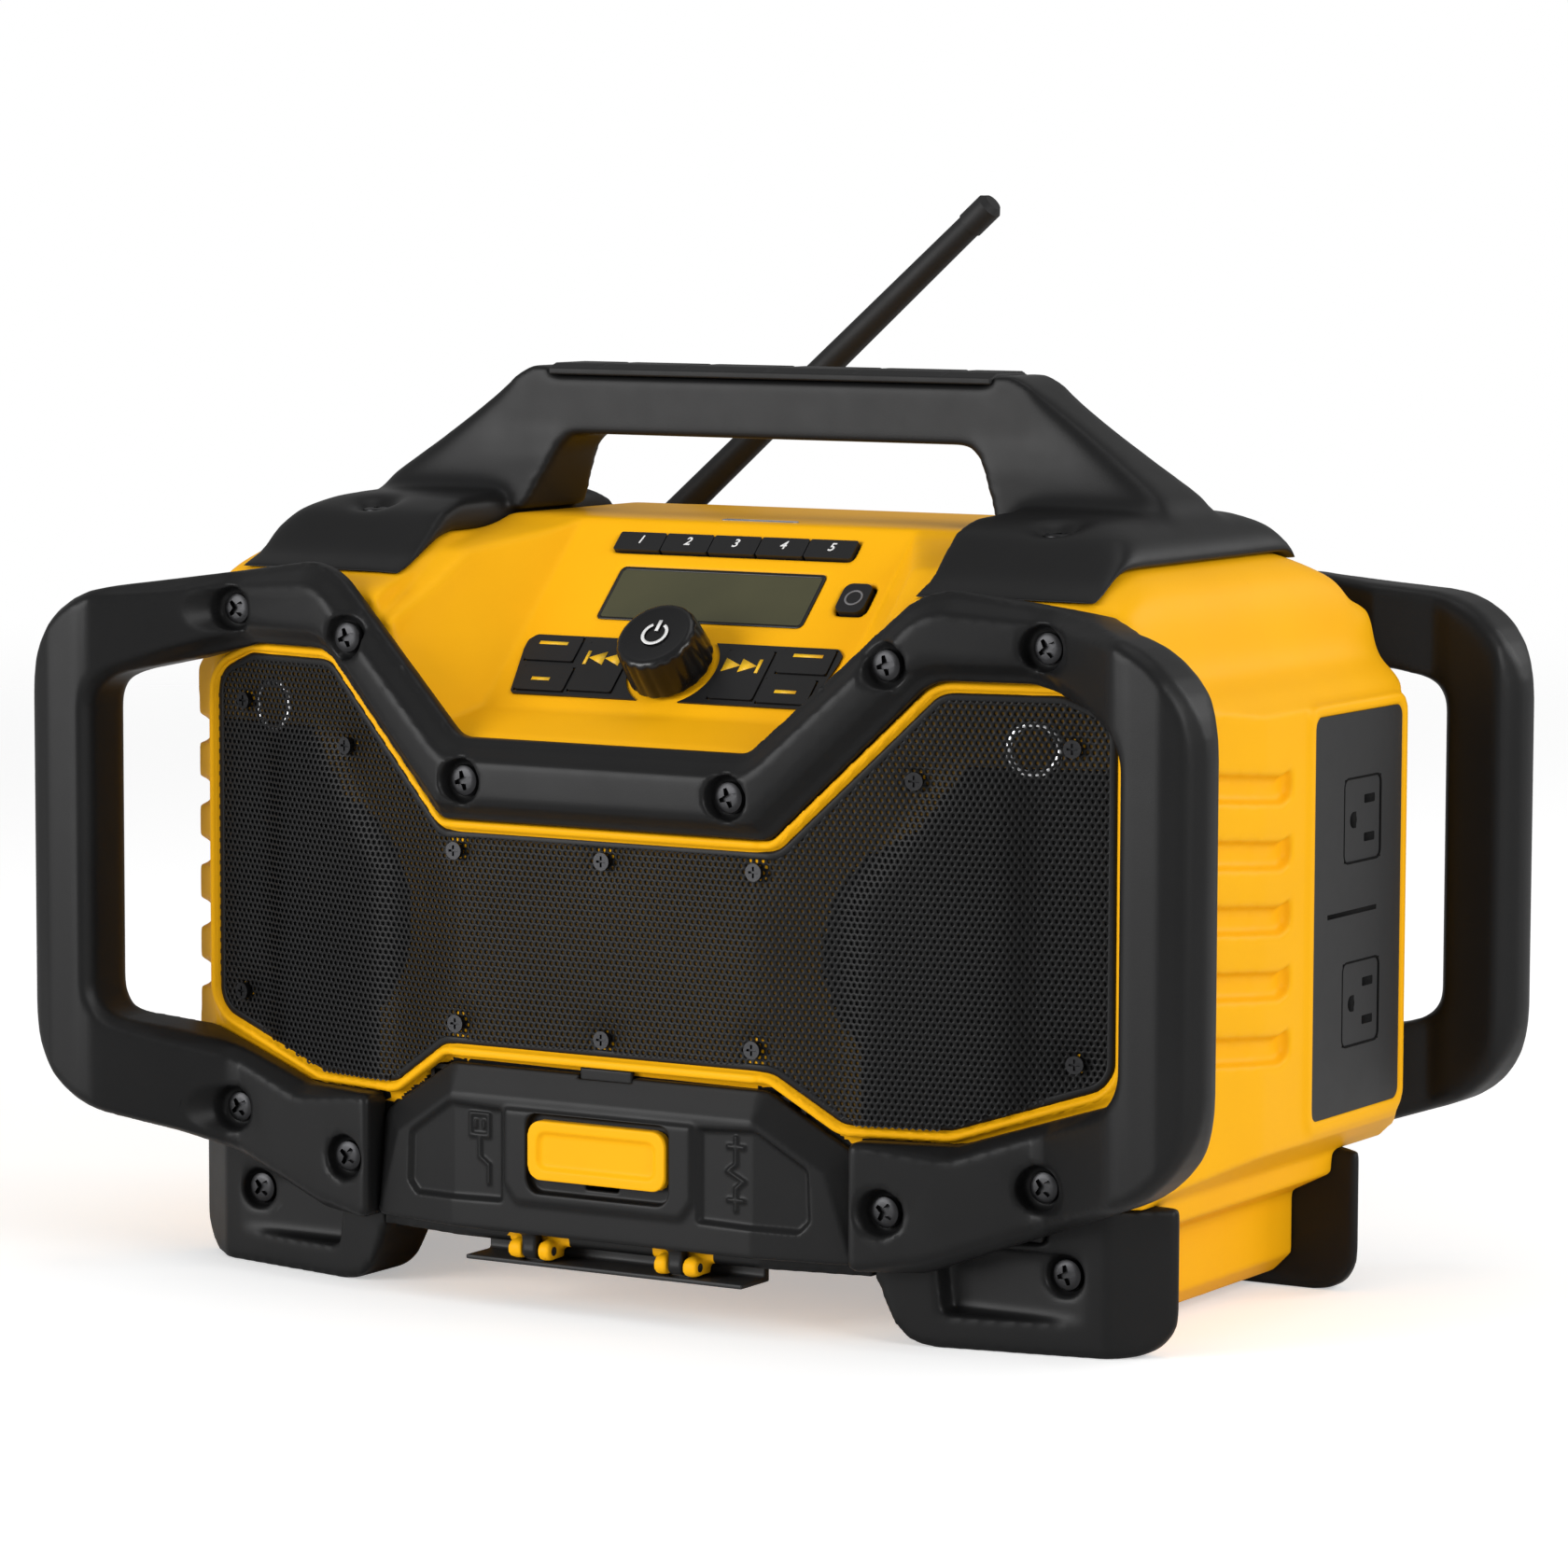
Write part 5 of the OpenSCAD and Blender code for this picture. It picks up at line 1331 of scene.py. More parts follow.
@dataclass(frozen=True)
class Housing(Assembly):
    """The yellow housing: both halves softened together and parted at the gasket."""

    melt: Melt = Melt(1.2 * MM, 4, 0.22, 260)
    gasket: str = "housing_gasket"
    gasket_inset: float = 1.15 * MM
    gasket_depth: float = 2.2
    split_y: float = 6.0 * MM
    gap: float = 0.015 * MM
    shoulder: tuple[Rise, Rise] = (Rise(140, 160), Rise(202, 212))
    flank: tuple[Rise, Rise] = (Rise(66, 74), Rise(206, 214))
    flank_share: float = 0.10
    rib: Rise = Rise(178, 182)
    rib_share: float = 0.04
    rib_end: float = -8
    rib_span: Point2 = (82, 192)
    tilt: float = 0.09
    tilt_middle: float = 52
    tilt_side: Rise = Rise(172, 178)
    tilt_low: Rise = Rise(72, 86)
    tilt_high: Rise = Rise(200, 186)
    tilt_along: Rise = Rise(2, -10)
    ledge: tuple[float, float, float, float] = (95.0, 80.6, 62.0, -100.0)
    ledge_slope: float = 0.65
    ears: Point3 = (16.5, 39.5, 24.6)
    foot: Point3 = (91.0, -84.0, 66.0)
    side: float = 192.5
    sunk: float = 2.0
    frame_half: Point2 = (33.0, 66.0)
    frame_middle: Point2 = (45.5, 130.0)
    frame_width: float = 4.2
    frame_radii: Point2 = (7.5, 4.0)
    frame_rise: float = 1.2
    pad: Point2 = (5.0, 41.0)
    pad_outline: Path = ((160, 207), (175.5, 211), (174.5, 222), (167, 232), (155, 228))

    def _zone(self, point: Vector) -> float:
        """Weighs the extra smoothing of the shoulders, flanks and ribs.

        Args:
            point: a point of the housing.

        Returns:
            The weight there.
        """
        x, y, z = abs(point.x) / MM, point.y / MM, point.z / MM
        hump = self.shoulder[0].at(x) * self.shoulder[1].at(z)
        flank = self.flank_share * self.flank[0].at(x) * self.flank[1].at(z)
        low, high = self.rib_span
        rib = self.rib_share * self.rib.at(x) if y < self.rib_end and low < z < high else 0.0
        return max(hump, flank, rib)

    def _tilt_ribs(self, piece: Piece) -> None:
        """Tilts the ribs on the sides, so that they fall towards the rear.

        Args:
            piece: the whole housing.
        """
        for vertex in piece.data.vertices:
            x, y, z = abs(vertex.co.x) / MM, vertex.co.y / MM, vertex.co.z / MM
            height = self.tilt_low.at(z) * self.tilt_high.at(z)
            vertex.co.z -= (self.tilt * (y + self.tilt_middle) * MM * self.tilt_side.at(x)
                            * height * self.tilt_along.at(y))

    def build(self) -> None:
        """Builds both halves."""
        mesh = node_mesh("front_housing")
        for node in ("rear_housing", self.gasket):
            mesh.from_mesh(frame["nodes"][node].data)
        bmesh.ops.remove_doubles(mesh, verts=mesh.verts, dist=WELD)
        self._bridge(mesh)
        self._frame_and_pads(mesh)
        whole = self.melt.soften(place_mesh(mesh, "housing_whole"), self._zone)
        self._tilt_ribs(whole)
        for name, node, side in (("front_shell", "front_housing", -1),
                                 ("rear_shell", "rear_housing", 1)):
            half = bmesh.new()
            half.from_mesh(whole.data)
            split(half, (0, self.split_y + side * self.gap, 0), (0, side, 0), clear_inner=True)
            self._blacken(self.stand_in(place_mesh(half, name), node))
        bpy.data.objects.remove(whole)

    def _blacken(self, piece: Piece) -> None:
        """Makes the ledge round the storage door and the ends over the feet black.

        Args:
            piece: one half of the housing.
        """
        piece.data.materials.append(self.shop.finish["black_cage"])
        half, top, corner, back = (value * MM for value in self.ledge)
        near, far, ear_top = (value * MM for value in self.ears)
        foot_x, foot_y, foot_z = (value * MM for value in self.foot)
        for face in piece.data.polygons:
            x, y, z = abs(face.center.x), face.center.y, face.center.z
            on_ear = near < x < far and z < ear_top
            on_ledge = x < half and y < back and (
                z < top - max(0.0, x - corner) * self.ledge_slope)
            if (on_ledge and not on_ear) or (x > foot_x and y < foot_y and z < foot_z):
                face.material_index = 1

    def _bridge(self, mesh: Mesh) -> None:
        """Fills the gap over the gasket, so that both halves soften as one.

        Args:
            mesh: the joined mesh of both halves.
        """
        copy = node_mesh(self.gasket)
        low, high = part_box(self.gasket)
        middle = Vector(((low[0] + high[0]) / 2, self.split_y, (low[2] + high[2]) / 2))
        width, height = (1 + 2 * self.gasket_inset / (high[k] - low[k]) for k in (0, 2))
        grown = Vector((width, self.gasket_depth, height))
        for vertex in copy.verts:
            offset = vertex.co - middle
            vertex.co = middle + Vector([offset[k] * grown[k] for k in range(3)])
        join(mesh, copy)

    def _frame_and_pads(self, mesh: Mesh) -> None:
        """Adds the raised frame round the outlet panel and the pads on the shoulders.

        Args:
            mesh: the joined mesh of both halves.
        """
        (y0, z0), (hy, hz) = self.frame_middle, self.frame_half
        loops = [[Vector(((self.side - self.sunk) * MM, (y0 + a) * MM, (z0 + b) * MM))
                  for a, b in rounded_box((2 * (hy + grow), 2 * (hz + grow)), radius)]
                 for grow, radius in zip((self.frame_width, 0.0), self.frame_radii)]
        add_ring(mesh, *loops, Vector(((self.frame_rise + self.sunk) * MM, 0, 0)))
        low, high = self.pad
        for side in (-1, 1):
            base = [Vector((side * x * MM, low * MM, z * MM)) for x, z in self.pad_outline]
            add_prism(mesh, base, Vector((0, (high - low) * MM, 0)))


@dataclass(frozen=True)
class StorageDoor(Assembly):
    """The door of the lower storage, with its latch."""

    melt: Melt = Melt(0.6 * MM, 3, 0.3)
    fine: Melt = Melt(0.45 * MM, 4, 0.35)
    face: float = -115.5
    depth: float = 8.4
    flat: float = 57.0
    wide: float = 120.0
    sweep: float = 0.194
    cut: float = 29.0
    outline: Corners = ((91.3, 26.1, 3), (91.3, 60.0, 7), (60.6, 79.9, 8))
    edge: Path = ((0.0, 5.6), (0.6, 5.0), (8.4, 0.6), (9.4, 0.1), (10.4, 0.0))
    back_edge: Path = ((1.0, 0.0), (0.3, 0.3), (0.0, 1.0))
    plain: Path = ((0.0, 0.1), (0.1, 0.0))
    knee: float = 56.0
    low_taper: float = 0.2
    clear: float = 8.0
    hollow: Corners = ((37.0, 35.5, 1.5), (73.5, 34.7, 3), (77.4, 38.8, 3), (76.8, 56.0, 4),
                       (58.5, 68.0, 4), (37.0, 67.0, 1.5))
    sunk: float = 1.9
    sunk_lean: float = 1.7
    housing: Corners = ((32.0, 35.6, 4), (36.7, 42.0, 4), (36.7, 68.0, 1.5))
    rise: float = 1.3
    housing_root: float = 4.0
    housing_lean: float = 1.5
    pocket: Corners = ((27.2, 40.1, 5), (27.2, 66.4, 4))
    pocket_floor: float = -113.3
    pocket_lean: Point2 = (0.4, 1.0)
    slots: tuple[Point3, Point3] = ((6.3, 42.6, 60.8), (10.3, 41.5, 90.0))
    slot_faces: Point2 = (-113.8, -111.3)
    slot_end: float = 12.0
    pad: Corners = ((26.2, 44.7, 5), (26.2, 64.3, 5))
    pad_front: float = -117.5
    pad_back: float = -113.6
    bowl: Corners = ((22.9, 48.0, 3.5), (22.9, 61.0, 3.5))
    bowl_lean: float = 1.4
    bowl_clear: float = 5.0
    dish: float = 1.3
    black_from: float = 0.6
    stroke: float = 0.42
    sign_root: float = 0.4
    sign_rise: float = 1.1
    signs: tuple[Path, ...] = (
        ((-50.5, 64.0), (-43.5, 64.0), (-43.5, 57.0), (-50.5, 57.0), (-50.5, 64.0)),
        ((-48.6, 61.4), (-48.6, 59.8)), ((-45.4, 61.4), (-45.4, 59.8)),
        ((-47.0, 57.0), (-47.0, 50.0), (-43.5, 47.5), (-43.5, 41.5)),
        ((51.0, 64.5), (51.0, 56.0), (48.0, 53.5), (54.0, 50.5), (51.0, 48.0), (51.0, 41.0)),
        ((48.2, 61.5), (53.8, 61.5)), ((48.2, 44.2), (53.8, 44.2)))

    def _lines(self, near: float, far: float, slope: float) -> list[Line]:
        """Returns the plan lines of a front and a back, which sweep back at a slope."""
        return [Line(((0, y), (self.flat, y), (self.wide, y + (self.wide - self.flat) * slope)))
                for y in (near, far)]

    def _block(self, outline: Outline, near: float, far: float, lean: float = 0.0,
               deep: float = 0.0, swept: bool = True) -> Mesh:
        """Makes a block between two depths that narrows towards one end.

        Args:
            outline: its outline at the wide end.
            near: y of its front.
            far: y of its back.
            lean: inset at the narrow end, the back, or the front where it is negative.
            deep: depth over which it narrows.
            swept: whether it follows the door's sweep.

        Returns:
            A new mesh.
        """
        leaning = ((0.0, deep), (abs(lean), 0.0))
        front, back = (leaning, self.plain) if lean < 0 else (self.plain, leaning)
        return Plate(outline, *self._lines(near, far, self.sweep if swept else 0.0),
                     front, back[::-1]).mesh()

    def _cut(self, door: Piece) -> None:
        """Cuts the sunk panels, the latch's pocket and its slot into the door.

        Args:
            door: the door.
        """
        front = self.face - self.clear
        for side in (1, -1):
            outline = Outline.of(self.hollow[::side], side)
            carve(door, self._block(outline, front, self.face + self.sunk, self.sunk_lean,
                                    self.sunk))
        carve(door, self._block(Outline.mirrored(self.pocket), front, self.pocket_floor,
                                *self.pocket_lean))
        for (half, low, high), near in zip(self.slots, self.slot_faces):
            slot = bmesh.new()
            add_box(slot, (-half * MM, near * MM, low * MM),
                    (half * MM, (self.face + self.slot_end) * MM, high * MM))
            carve(door, slot)

    def _signs(self) -> Mesh:
        """Draws the fine raised lines of the plain signs in the sunk panels.

        Returns:
            A new mesh of the lines.
        """
        mesh = bmesh.new()
        base = (self.face + self.sunk + self.sign_root) * MM
        for path in self.signs:
            for start, end in zip(path, path[1:]):
                first, last = (Vector((x * MM, base, z * MM)) for x, z in (start, end))
                way = (last - first).normalized() * self.stroke * MM
                side = Vector((-way.z, 0, way.x))
                corners = (first - way - side, last + way - side, last + way + side,
                           first - way + side)
                add_prism(mesh, corners, Vector((0, -self.sign_rise * MM, 0)))
        return mesh

    def _door(self) -> Piece:
        """Builds the door with its signs.

        Returns:
            The door's object.
        """
        mesh = Plate(Outline.mirrored(self.outline),
                     *self._lines(self.face, self.face + self.depth, self.sweep),
                     self.edge, self.back_edge,
                     taper=lambda x, z: 1.0 if z > self.knee else self.low_taper).mesh()
        join(mesh, self._block(Outline.mirrored(self.housing), self.face - self.rise,
                               self.face + self.housing_root, -self.housing_lean,
                               self.housing_lean))
        join(mesh, trimmed("storage_door", Vector((0, 0, self.cut * MM)), Vector((0, 0, 1))))
        blank = self.melt.soften(place_mesh(mesh, "door_blank"))
        self._cut(blank)
        whole = self._signs()
        whole.from_mesh(blank.data)
        bpy.data.objects.remove(blank)
        return self.fine.soften(place_mesh(whole, "storage_door_moulding"))

    def _latch(self) -> Piece:
        """Builds the latch with its dished pad.

        Returns:
            The latch's object.
        """
        mesh = self._block(Outline.mirrored(self.pad), self.pad_front, self.pad_back,
                           swept=False)
        join(mesh, trimmed("door_latch", Vector((0, (self.pad_back - 0.1) * MM, 0)),
                           Vector((0, -1, 0))))
        latch = place_mesh(mesh, "storage_latch_pad")
        carve(latch, self._block(Outline.mirrored(self.bowl), self.pad_front - self.bowl_clear,
                                 self.pad_front + self.dish, self.bowl_lean, self.dish, False))
        return self.fine.soften(latch)

    def build(self) -> None:
        """Builds the door and the latch, whose hidden part is black."""
        self.stand_in(self._door(), "storage_door")
        latch = self.stand_in(self._latch(), "door_latch")
        latch.data.materials.append(self.shop.finish["black_cage"])
        for face in latch.data.polygons:
            if face.center.y > (self.pad_back + self.black_from) * MM:
                face.material_index = 1


@dataclass(frozen=True)
class ControlPanel(Assembly):
    """The keys with broken edges, the printed marks of the sloping panel, and a dark ring of
    painted shade round the display lens.
    """

    middle: Point2 = (-79.1, 200.1)
    slope: float = math.radians(44.0)
    root: float = 0.05
    thick: float = 0.12
    bevel: Bevel = Bevel(0.45 * MM)
    keys: tuple[str, ...] = ("preset_1", "preset_2", "preset_3", "preset_4", "preset_5", "mute_key",
                             "tone_key", "seek_back_key", "seek_forward_key", "mode_key",
                             "clock_key", "wireless_key", "sensor_lens")
    presets: int = 5
    preset_pitch: float = 18.5
    preset_v: float = 68.0
    digit_size: float = 3.6 * 1.35 * MM
    digit_shear: float = 0.22
    digit_weight: float = 0.06 * MM
    bars: tuple[tuple[str, Point3], ...] = (("mute_key", (-49.5, 20.5, 11)),
                                            ("tone_key", (-47.5, 4.8, 7)),
                                            ("mode_key", (48.5, 20.5, 11)),
                                            ("clock_key", (46.5, 4.8, 8)))
    bar_half: float = 0.65
    seeks: tuple[tuple[str, int, float], ...] = (("seek_back_key", -1, -27.2),
                                                 ("seek_forward_key", 1, 25.4))
    seek_v: float = 15
    arrows: tuple[Path, ...] = (((-6.5, -2.9), (-6.5, 2.9), (-0.2, 0)),
                                ((-0.2, -2.9), (-0.2, 2.9), (6.0, 0)),
                                ((6.1, -2.9), (6.1, 2.9), (7.3, 2.9), (7.3, -2.9)))
    power_bar: Path = ((-0.6, 14.4), (0.6, 14.4), (0.6, 19.0), (-0.6, 19.0))
    power_arc: Point3 = (13.2, 4.8, 3.7)
    power_turns: Point2 = (120, 5 / 6)
    power_sink: float = 0.45
    wireless: Point2 = (54.5, 46.5)
    wireless_radii: Point2 = (3.3, 2.6)
    display_v: float = 45.0
    display: tuple[tuple[Point2, float], ...] = (((79.4, 23.4), 2.0), ((77.2, 21.2), 1.2))

    def at(self, x: float, v: float, w: float) -> Vector:
        """Returns the point at x, v up the slope and w above it, from millimetres."""
        c, s = math.cos(self.slope), math.sin(self.slope)
        return Vector((x, self.middle[0] + v * c - w * s, self.middle[1] + v * s + w * c)) * MM

    def top_of(self, node: str) -> float:
        """Measures how far a node reaches above the slope, in millimetres.

        Args:
            node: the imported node's name.

        Returns:
            The height of its top.
        """
        c, s = math.cos(self.slope), math.sin(self.slope)
        node_object = frame["nodes"][node]
        places = (node_object.matrix_world @ v.co for v in node_object.data.vertices)
        return max(-(p.y / MM - self.middle[0]) * s + (p.z / MM - self.middle[1]) * c
                   for p in places)

    def _print(self, name: str, node: str, finish: str, shapes: Sequence[Sequence[Point2]],
               rings: Sequence[Sequence[Point2]] = (), sink: float = 0.0) -> None:
        """Lays flat shapes on a node: printed marks, and a dark ring of painted shade.

        Args:
            name: the mark's name.
            node: the node that carries it.
            finish: the name of its finish.
            shapes: outlines on the slope.
            rings: the outer and the inner edge of a ring, if any.
            sink: how far the mark lies below the node's top.
        """
        base = self.top_of(node) - sink - self.root
        up = self.at(0, 0, self.root + self.thick) - self.at(0, 0, 0)
        mesh = bmesh.new()
        for shape in shapes:
            add_prism(mesh, [self.at(x, v, base) for x, v in shape], up)
        if rings:
            add_ring(mesh, *([self.at(x, v, base) for x, v in ring] for ring in rings), up)
        self.lay(place_mesh(mesh, name), finish, home(node))

    def _digit(self, number: int) -> None:
        """Prints the number of a preset key.

        Args:
            number: the key's number.
        """
        node = f"preset_{number}"
        curve = bpy.data.curves.new("digit", "FONT")
        curve.body = str(number)
        curve.size = self.digit_size
        curve.shear = self.digit_shear
        curve.offset = self.digit_weight
        curve.extrude = 0.5 * (self.root + self.thick) * MM
        curve.align_x = curve.align_y = "CENTER"
        text = bpy.data.objects.new("digit", curve)
        bpy.context.scene.collection.objects.link(text)
        data = bpy.data.meshes.new_from_object(
            text.evaluated_get(bpy.context.evaluated_depsgraph_get()))
        mesh = bmesh.new()
        mesh.from_mesh(data)
        bpy.data.objects.remove(text)
        bpy.data.meshes.remove(data)
        origin = self.at((number - 3) * self.preset_pitch, self.preset_v, self.top_of(node))
        turn = Matrix.Translation(origin) @ Matrix.Rotation(self.slope, 4, "X")
        bmesh.ops.transform(mesh, matrix=turn, verts=mesh.verts)
        self.lay(place_mesh(mesh, f"digit_{number}"), "print_white", home(node))

    @staticmethod
    def _arc(x: float, v: float, radius: float, start: float = 0.0, share: float = 1.0,
             steps: int = 40) -> list[Point2]:
        """Traces a circle or an arc.

        Args:
            x: the middle's place along X.
            v: its place up the slope.
            radius: the radius.
            start: the start angle, in degrees.
            share: the share of a full turn.
            steps: the number of segments.

        Returns:
            The points.
        """
        turns = [math.radians(start) + math.tau * share * i / steps
                 for i in range(steps if share == 1.0 else steps + 1)]
        return [(x + radius * math.cos(a), v + radius * math.sin(a)) for a in turns]

    def build(self) -> None:
        """Breaks the keys' edges, prints the marks and lays a dark ring of painted shade round the
        display lens.
        """
        for node in self.keys:
            self.stand_in(self.bevel.of_node(node), node)
        for number in range(1, self.presets + 1):
            self._digit(number)
        for node, (x, v, width) in self.bars:
            half, high = width / 2, self.bar_half
            self._print(node + "_bar", node, "print_yellow",
                        [[(x - half, v - high), (x + half, v - high), (x + half, v + high),
                          (x - half, v + high)]])
        for node, side, x in self.seeks:
            self._print(node + "_arrows", node, "print_yellow",
                        [[(x + side * a, self.seek_v - h) for a, h in arrow]
                         for arrow in self.arrows])
        v, *radii = self.power_arc
        outer, inner = (self._arc(0, v, radius, *self.power_turns) for radius in radii)
        strip = [[outer[i], outer[i + 1], inner[i + 1], inner[i]] for i in range(len(outer) - 1)]
        self._print("knob_mark", "volume_knob", "print_white", [self.power_bar, *strip],
                    sink=self.power_sink)
        self._print("wireless_mark", "wireless_key", "print_grey", (),
                    [self._arc(*self.wireless, radius) for radius in self.wireless_radii])
        # painted shade: a thin dark ring stands in for the shadow line at the display lens's edge
        self._print("display_edge_shade", "display_lens", "keypad", (),
                    [[(x, v + self.display_v) for x, v in rounded_box(size, radius)]
                     for size, radius in self.display])


@dataclass(frozen=True)
class Knob(Assembly):
    """The volume knob, turned with a fluted side and a hollow face.

    Args:
        panel: the slope that it stands on.
    """

    panel: ControlPanel
    flutes: int = 18
    flute: float = 0.35
    flute_heights: Point2 = (2.0, 16.0)
    flute_radius: float = 13.0
    profile: Path = ((0.1, 12.2), (3.05, 12.2), (3.05, 3.8), (6.5, 3.8), (6.5, 1.8), (14.2, 1.8),
                     (14.8, 2.1), (14.95, 2.8), (14.6, 11.0), (14.25, 14.6), (13.9, 15.8),
                     (13.2, 16.6), (12.3, 17.0), (11.4, 16.95), (10.2, 16.65), (5.0, 16.45),
                     (0.6, 16.45))
    steps: int = 144
    v: float = 13.0
    sharp: float = 50.0

    def build(self) -> None:
        """Builds the knob."""
        mesh = bmesh.new()
        low, high = self.flute_heights
        rings = []
        for radius, height in self.profile:
            fluted = low < height < high and radius > self.flute_radius
            ring = []
            for i, (c, s) in enumerate(circle(self.steps)):
                wave = 0.5 + 0.5 * math.cos(self.flutes * (math.tau * i / self.steps))
                reach = radius - (self.flute if fluted else 0.0) * wave ** 2
                ring.append(mesh.verts.new(self.panel.at(reach * c, self.v + reach * s, height)))
            rings.append(ring)
        skin(mesh, rings, closed=True)
        bmesh.ops.recalc_face_normals(mesh, faces=mesh.faces)
        piece = place_mesh(mesh, "volume_knob_turned")
        crease(piece, self.sharp)
        self.stand_in(piece, "volume_knob")


@dataclass(frozen=True)
class Screws(Assembly):
    """Screws with domed heads and wide crossed recesses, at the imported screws' places."""

    steps: int = 40
    shank: tuple[float, float] = (0.32, 0.4)
    tip: float = 1.0 * MM
    head: float = 3.0 * MM
    dome: Path = ((1.0, 1.0), (1.0, 0.42), (0.94, 0.2), (0.8, 0.08), (0.6, 0.02), (0.25, 0.0))
    cross: Path = ((-1, -0.7), (-0.4, -1.1), (0.4, -1.1), (1, -0.7), (1, 0.7), (0.4, 1.1),
                   (-0.4, 1.1), (-1, 0.7))
    recess: float = 0.62
    blade: float = 0.17
    deep: float = 1.9 * MM
    deep_share: float = 0.6
    twist: Point3 = (0.6, 0.37, 5.1)
    sharp: float = 35.0
    nodes: tuple[str, str] = ("cage_screws", "fixing_screws")
    top_height: float = 150 * MM

    def _way_out(self, node: str, place: Vector) -> Vector:
        """Finds which way a screw points out of the radio.

        Args:
            node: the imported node's name.
            place: the middle of the screw.

        Returns:
            The direction of its head.
        """
        if node == "fixing_screws" and place.z > self.top_height:
            return Vector((0, 0, 1))
        return Vector((0, 1 if place.y > 0 else -1, 0))

    def _screw(self, low: Vector, high: Vector, out: Vector, twist: float
               ) -> tuple[Mesh, Mesh]:
        """Builds one screw between the corners of its box.

        Args:
            low: lowest corner of the screw's box.
            high: highest corner.
            out: from the shank to the head.
            twist: turn of the recess.

        Returns:
            The screw and the cutter of its recess.
        """
        axis = max(range(3), key=lambda k: abs(out[k]))
        side, up = (Vector([1.0 if k == a else 0.0 for k in range(3)])
                    for a in range(3) if a != axis)
        radius = (high - low)[0 if axis else 1] / 2
        length = (high - low)[axis]
        face = (low + high) / 2 + out * length / 2
        head = min(self.head, 0.5 * length)
        mesh, cutter = bmesh.new(), bmesh.new()
        end, neck = self.shank
        profile = [(end, length), (neck, length - self.tip), (neck, head),
                   *((share, depth * head) for share, depth in self.dome)]
        skin(mesh, [[mesh.verts.new(face - out * depth + share * radius * (side * c + up * s))
                     for c, s in circle(self.steps)] for share, depth in profile], closed=True)
        bmesh.ops.recalc_face_normals(mesh, faces=mesh.faces)
        sink = out * min(self.deep, self.deep_share * head)
        for angle in (twist, twist + math.pi / 2):
            along = side * math.cos(angle) + up * math.sin(angle)
            across = along.cross(out).normalized()
            add_prism(cutter, [face + along * (a * self.recess * radius)
                               + across * (b * self.blade * radius) - sink
                               for a, b in self.cross], out * 3 * MM)
        return mesh, cutter

    @staticmethod
    def _boxes(mesh: Mesh) -> Iterator[tuple[Vector, Vector]]:
        """Finds the lowest and highest corner of each loose part of a mesh.

        Args:
            mesh: the mesh of all screws.

        Returns:
            The corners, in the order of the parts' vertices.
        """
        left = set(mesh.verts)
        for first in mesh.verts:
            if first not in left:
                continue
            left.remove(first)
            stack, group = [first], []
            while stack:
                vertex = stack.pop()
                group.append(vertex.co.copy())
                for edge in vertex.link_edges:
                    other = edge.other_vert(vertex)
                    if other in left:
                        left.remove(other)
                        stack.append(other)
            yield tuple(Vector([pick(p[k] for p in group) for k in range(3)])
                        for pick in (min, max))

    def build(self) -> None:
        """Builds the screws of each node."""
        middle, swing, pace = self.twist
        for node in self.nodes:
            source = node_mesh(node)
            whole, cutters = bmesh.new(), bmesh.new()
            for count, (low, high) in enumerate(self._boxes(source)):
                mesh, cutter = self._screw(low, high, self._way_out(node, (low + high) / 2),
                                           middle + swing * math.sin(pace * count))
                join(whole, mesh)
                join(cutters, cutter)
            source.free()
            piece = place_mesh(whole, node + "_turned")
            carve(piece, cutters)
            crease(piece, self.sharp)
            self.stand_in(piece, node)


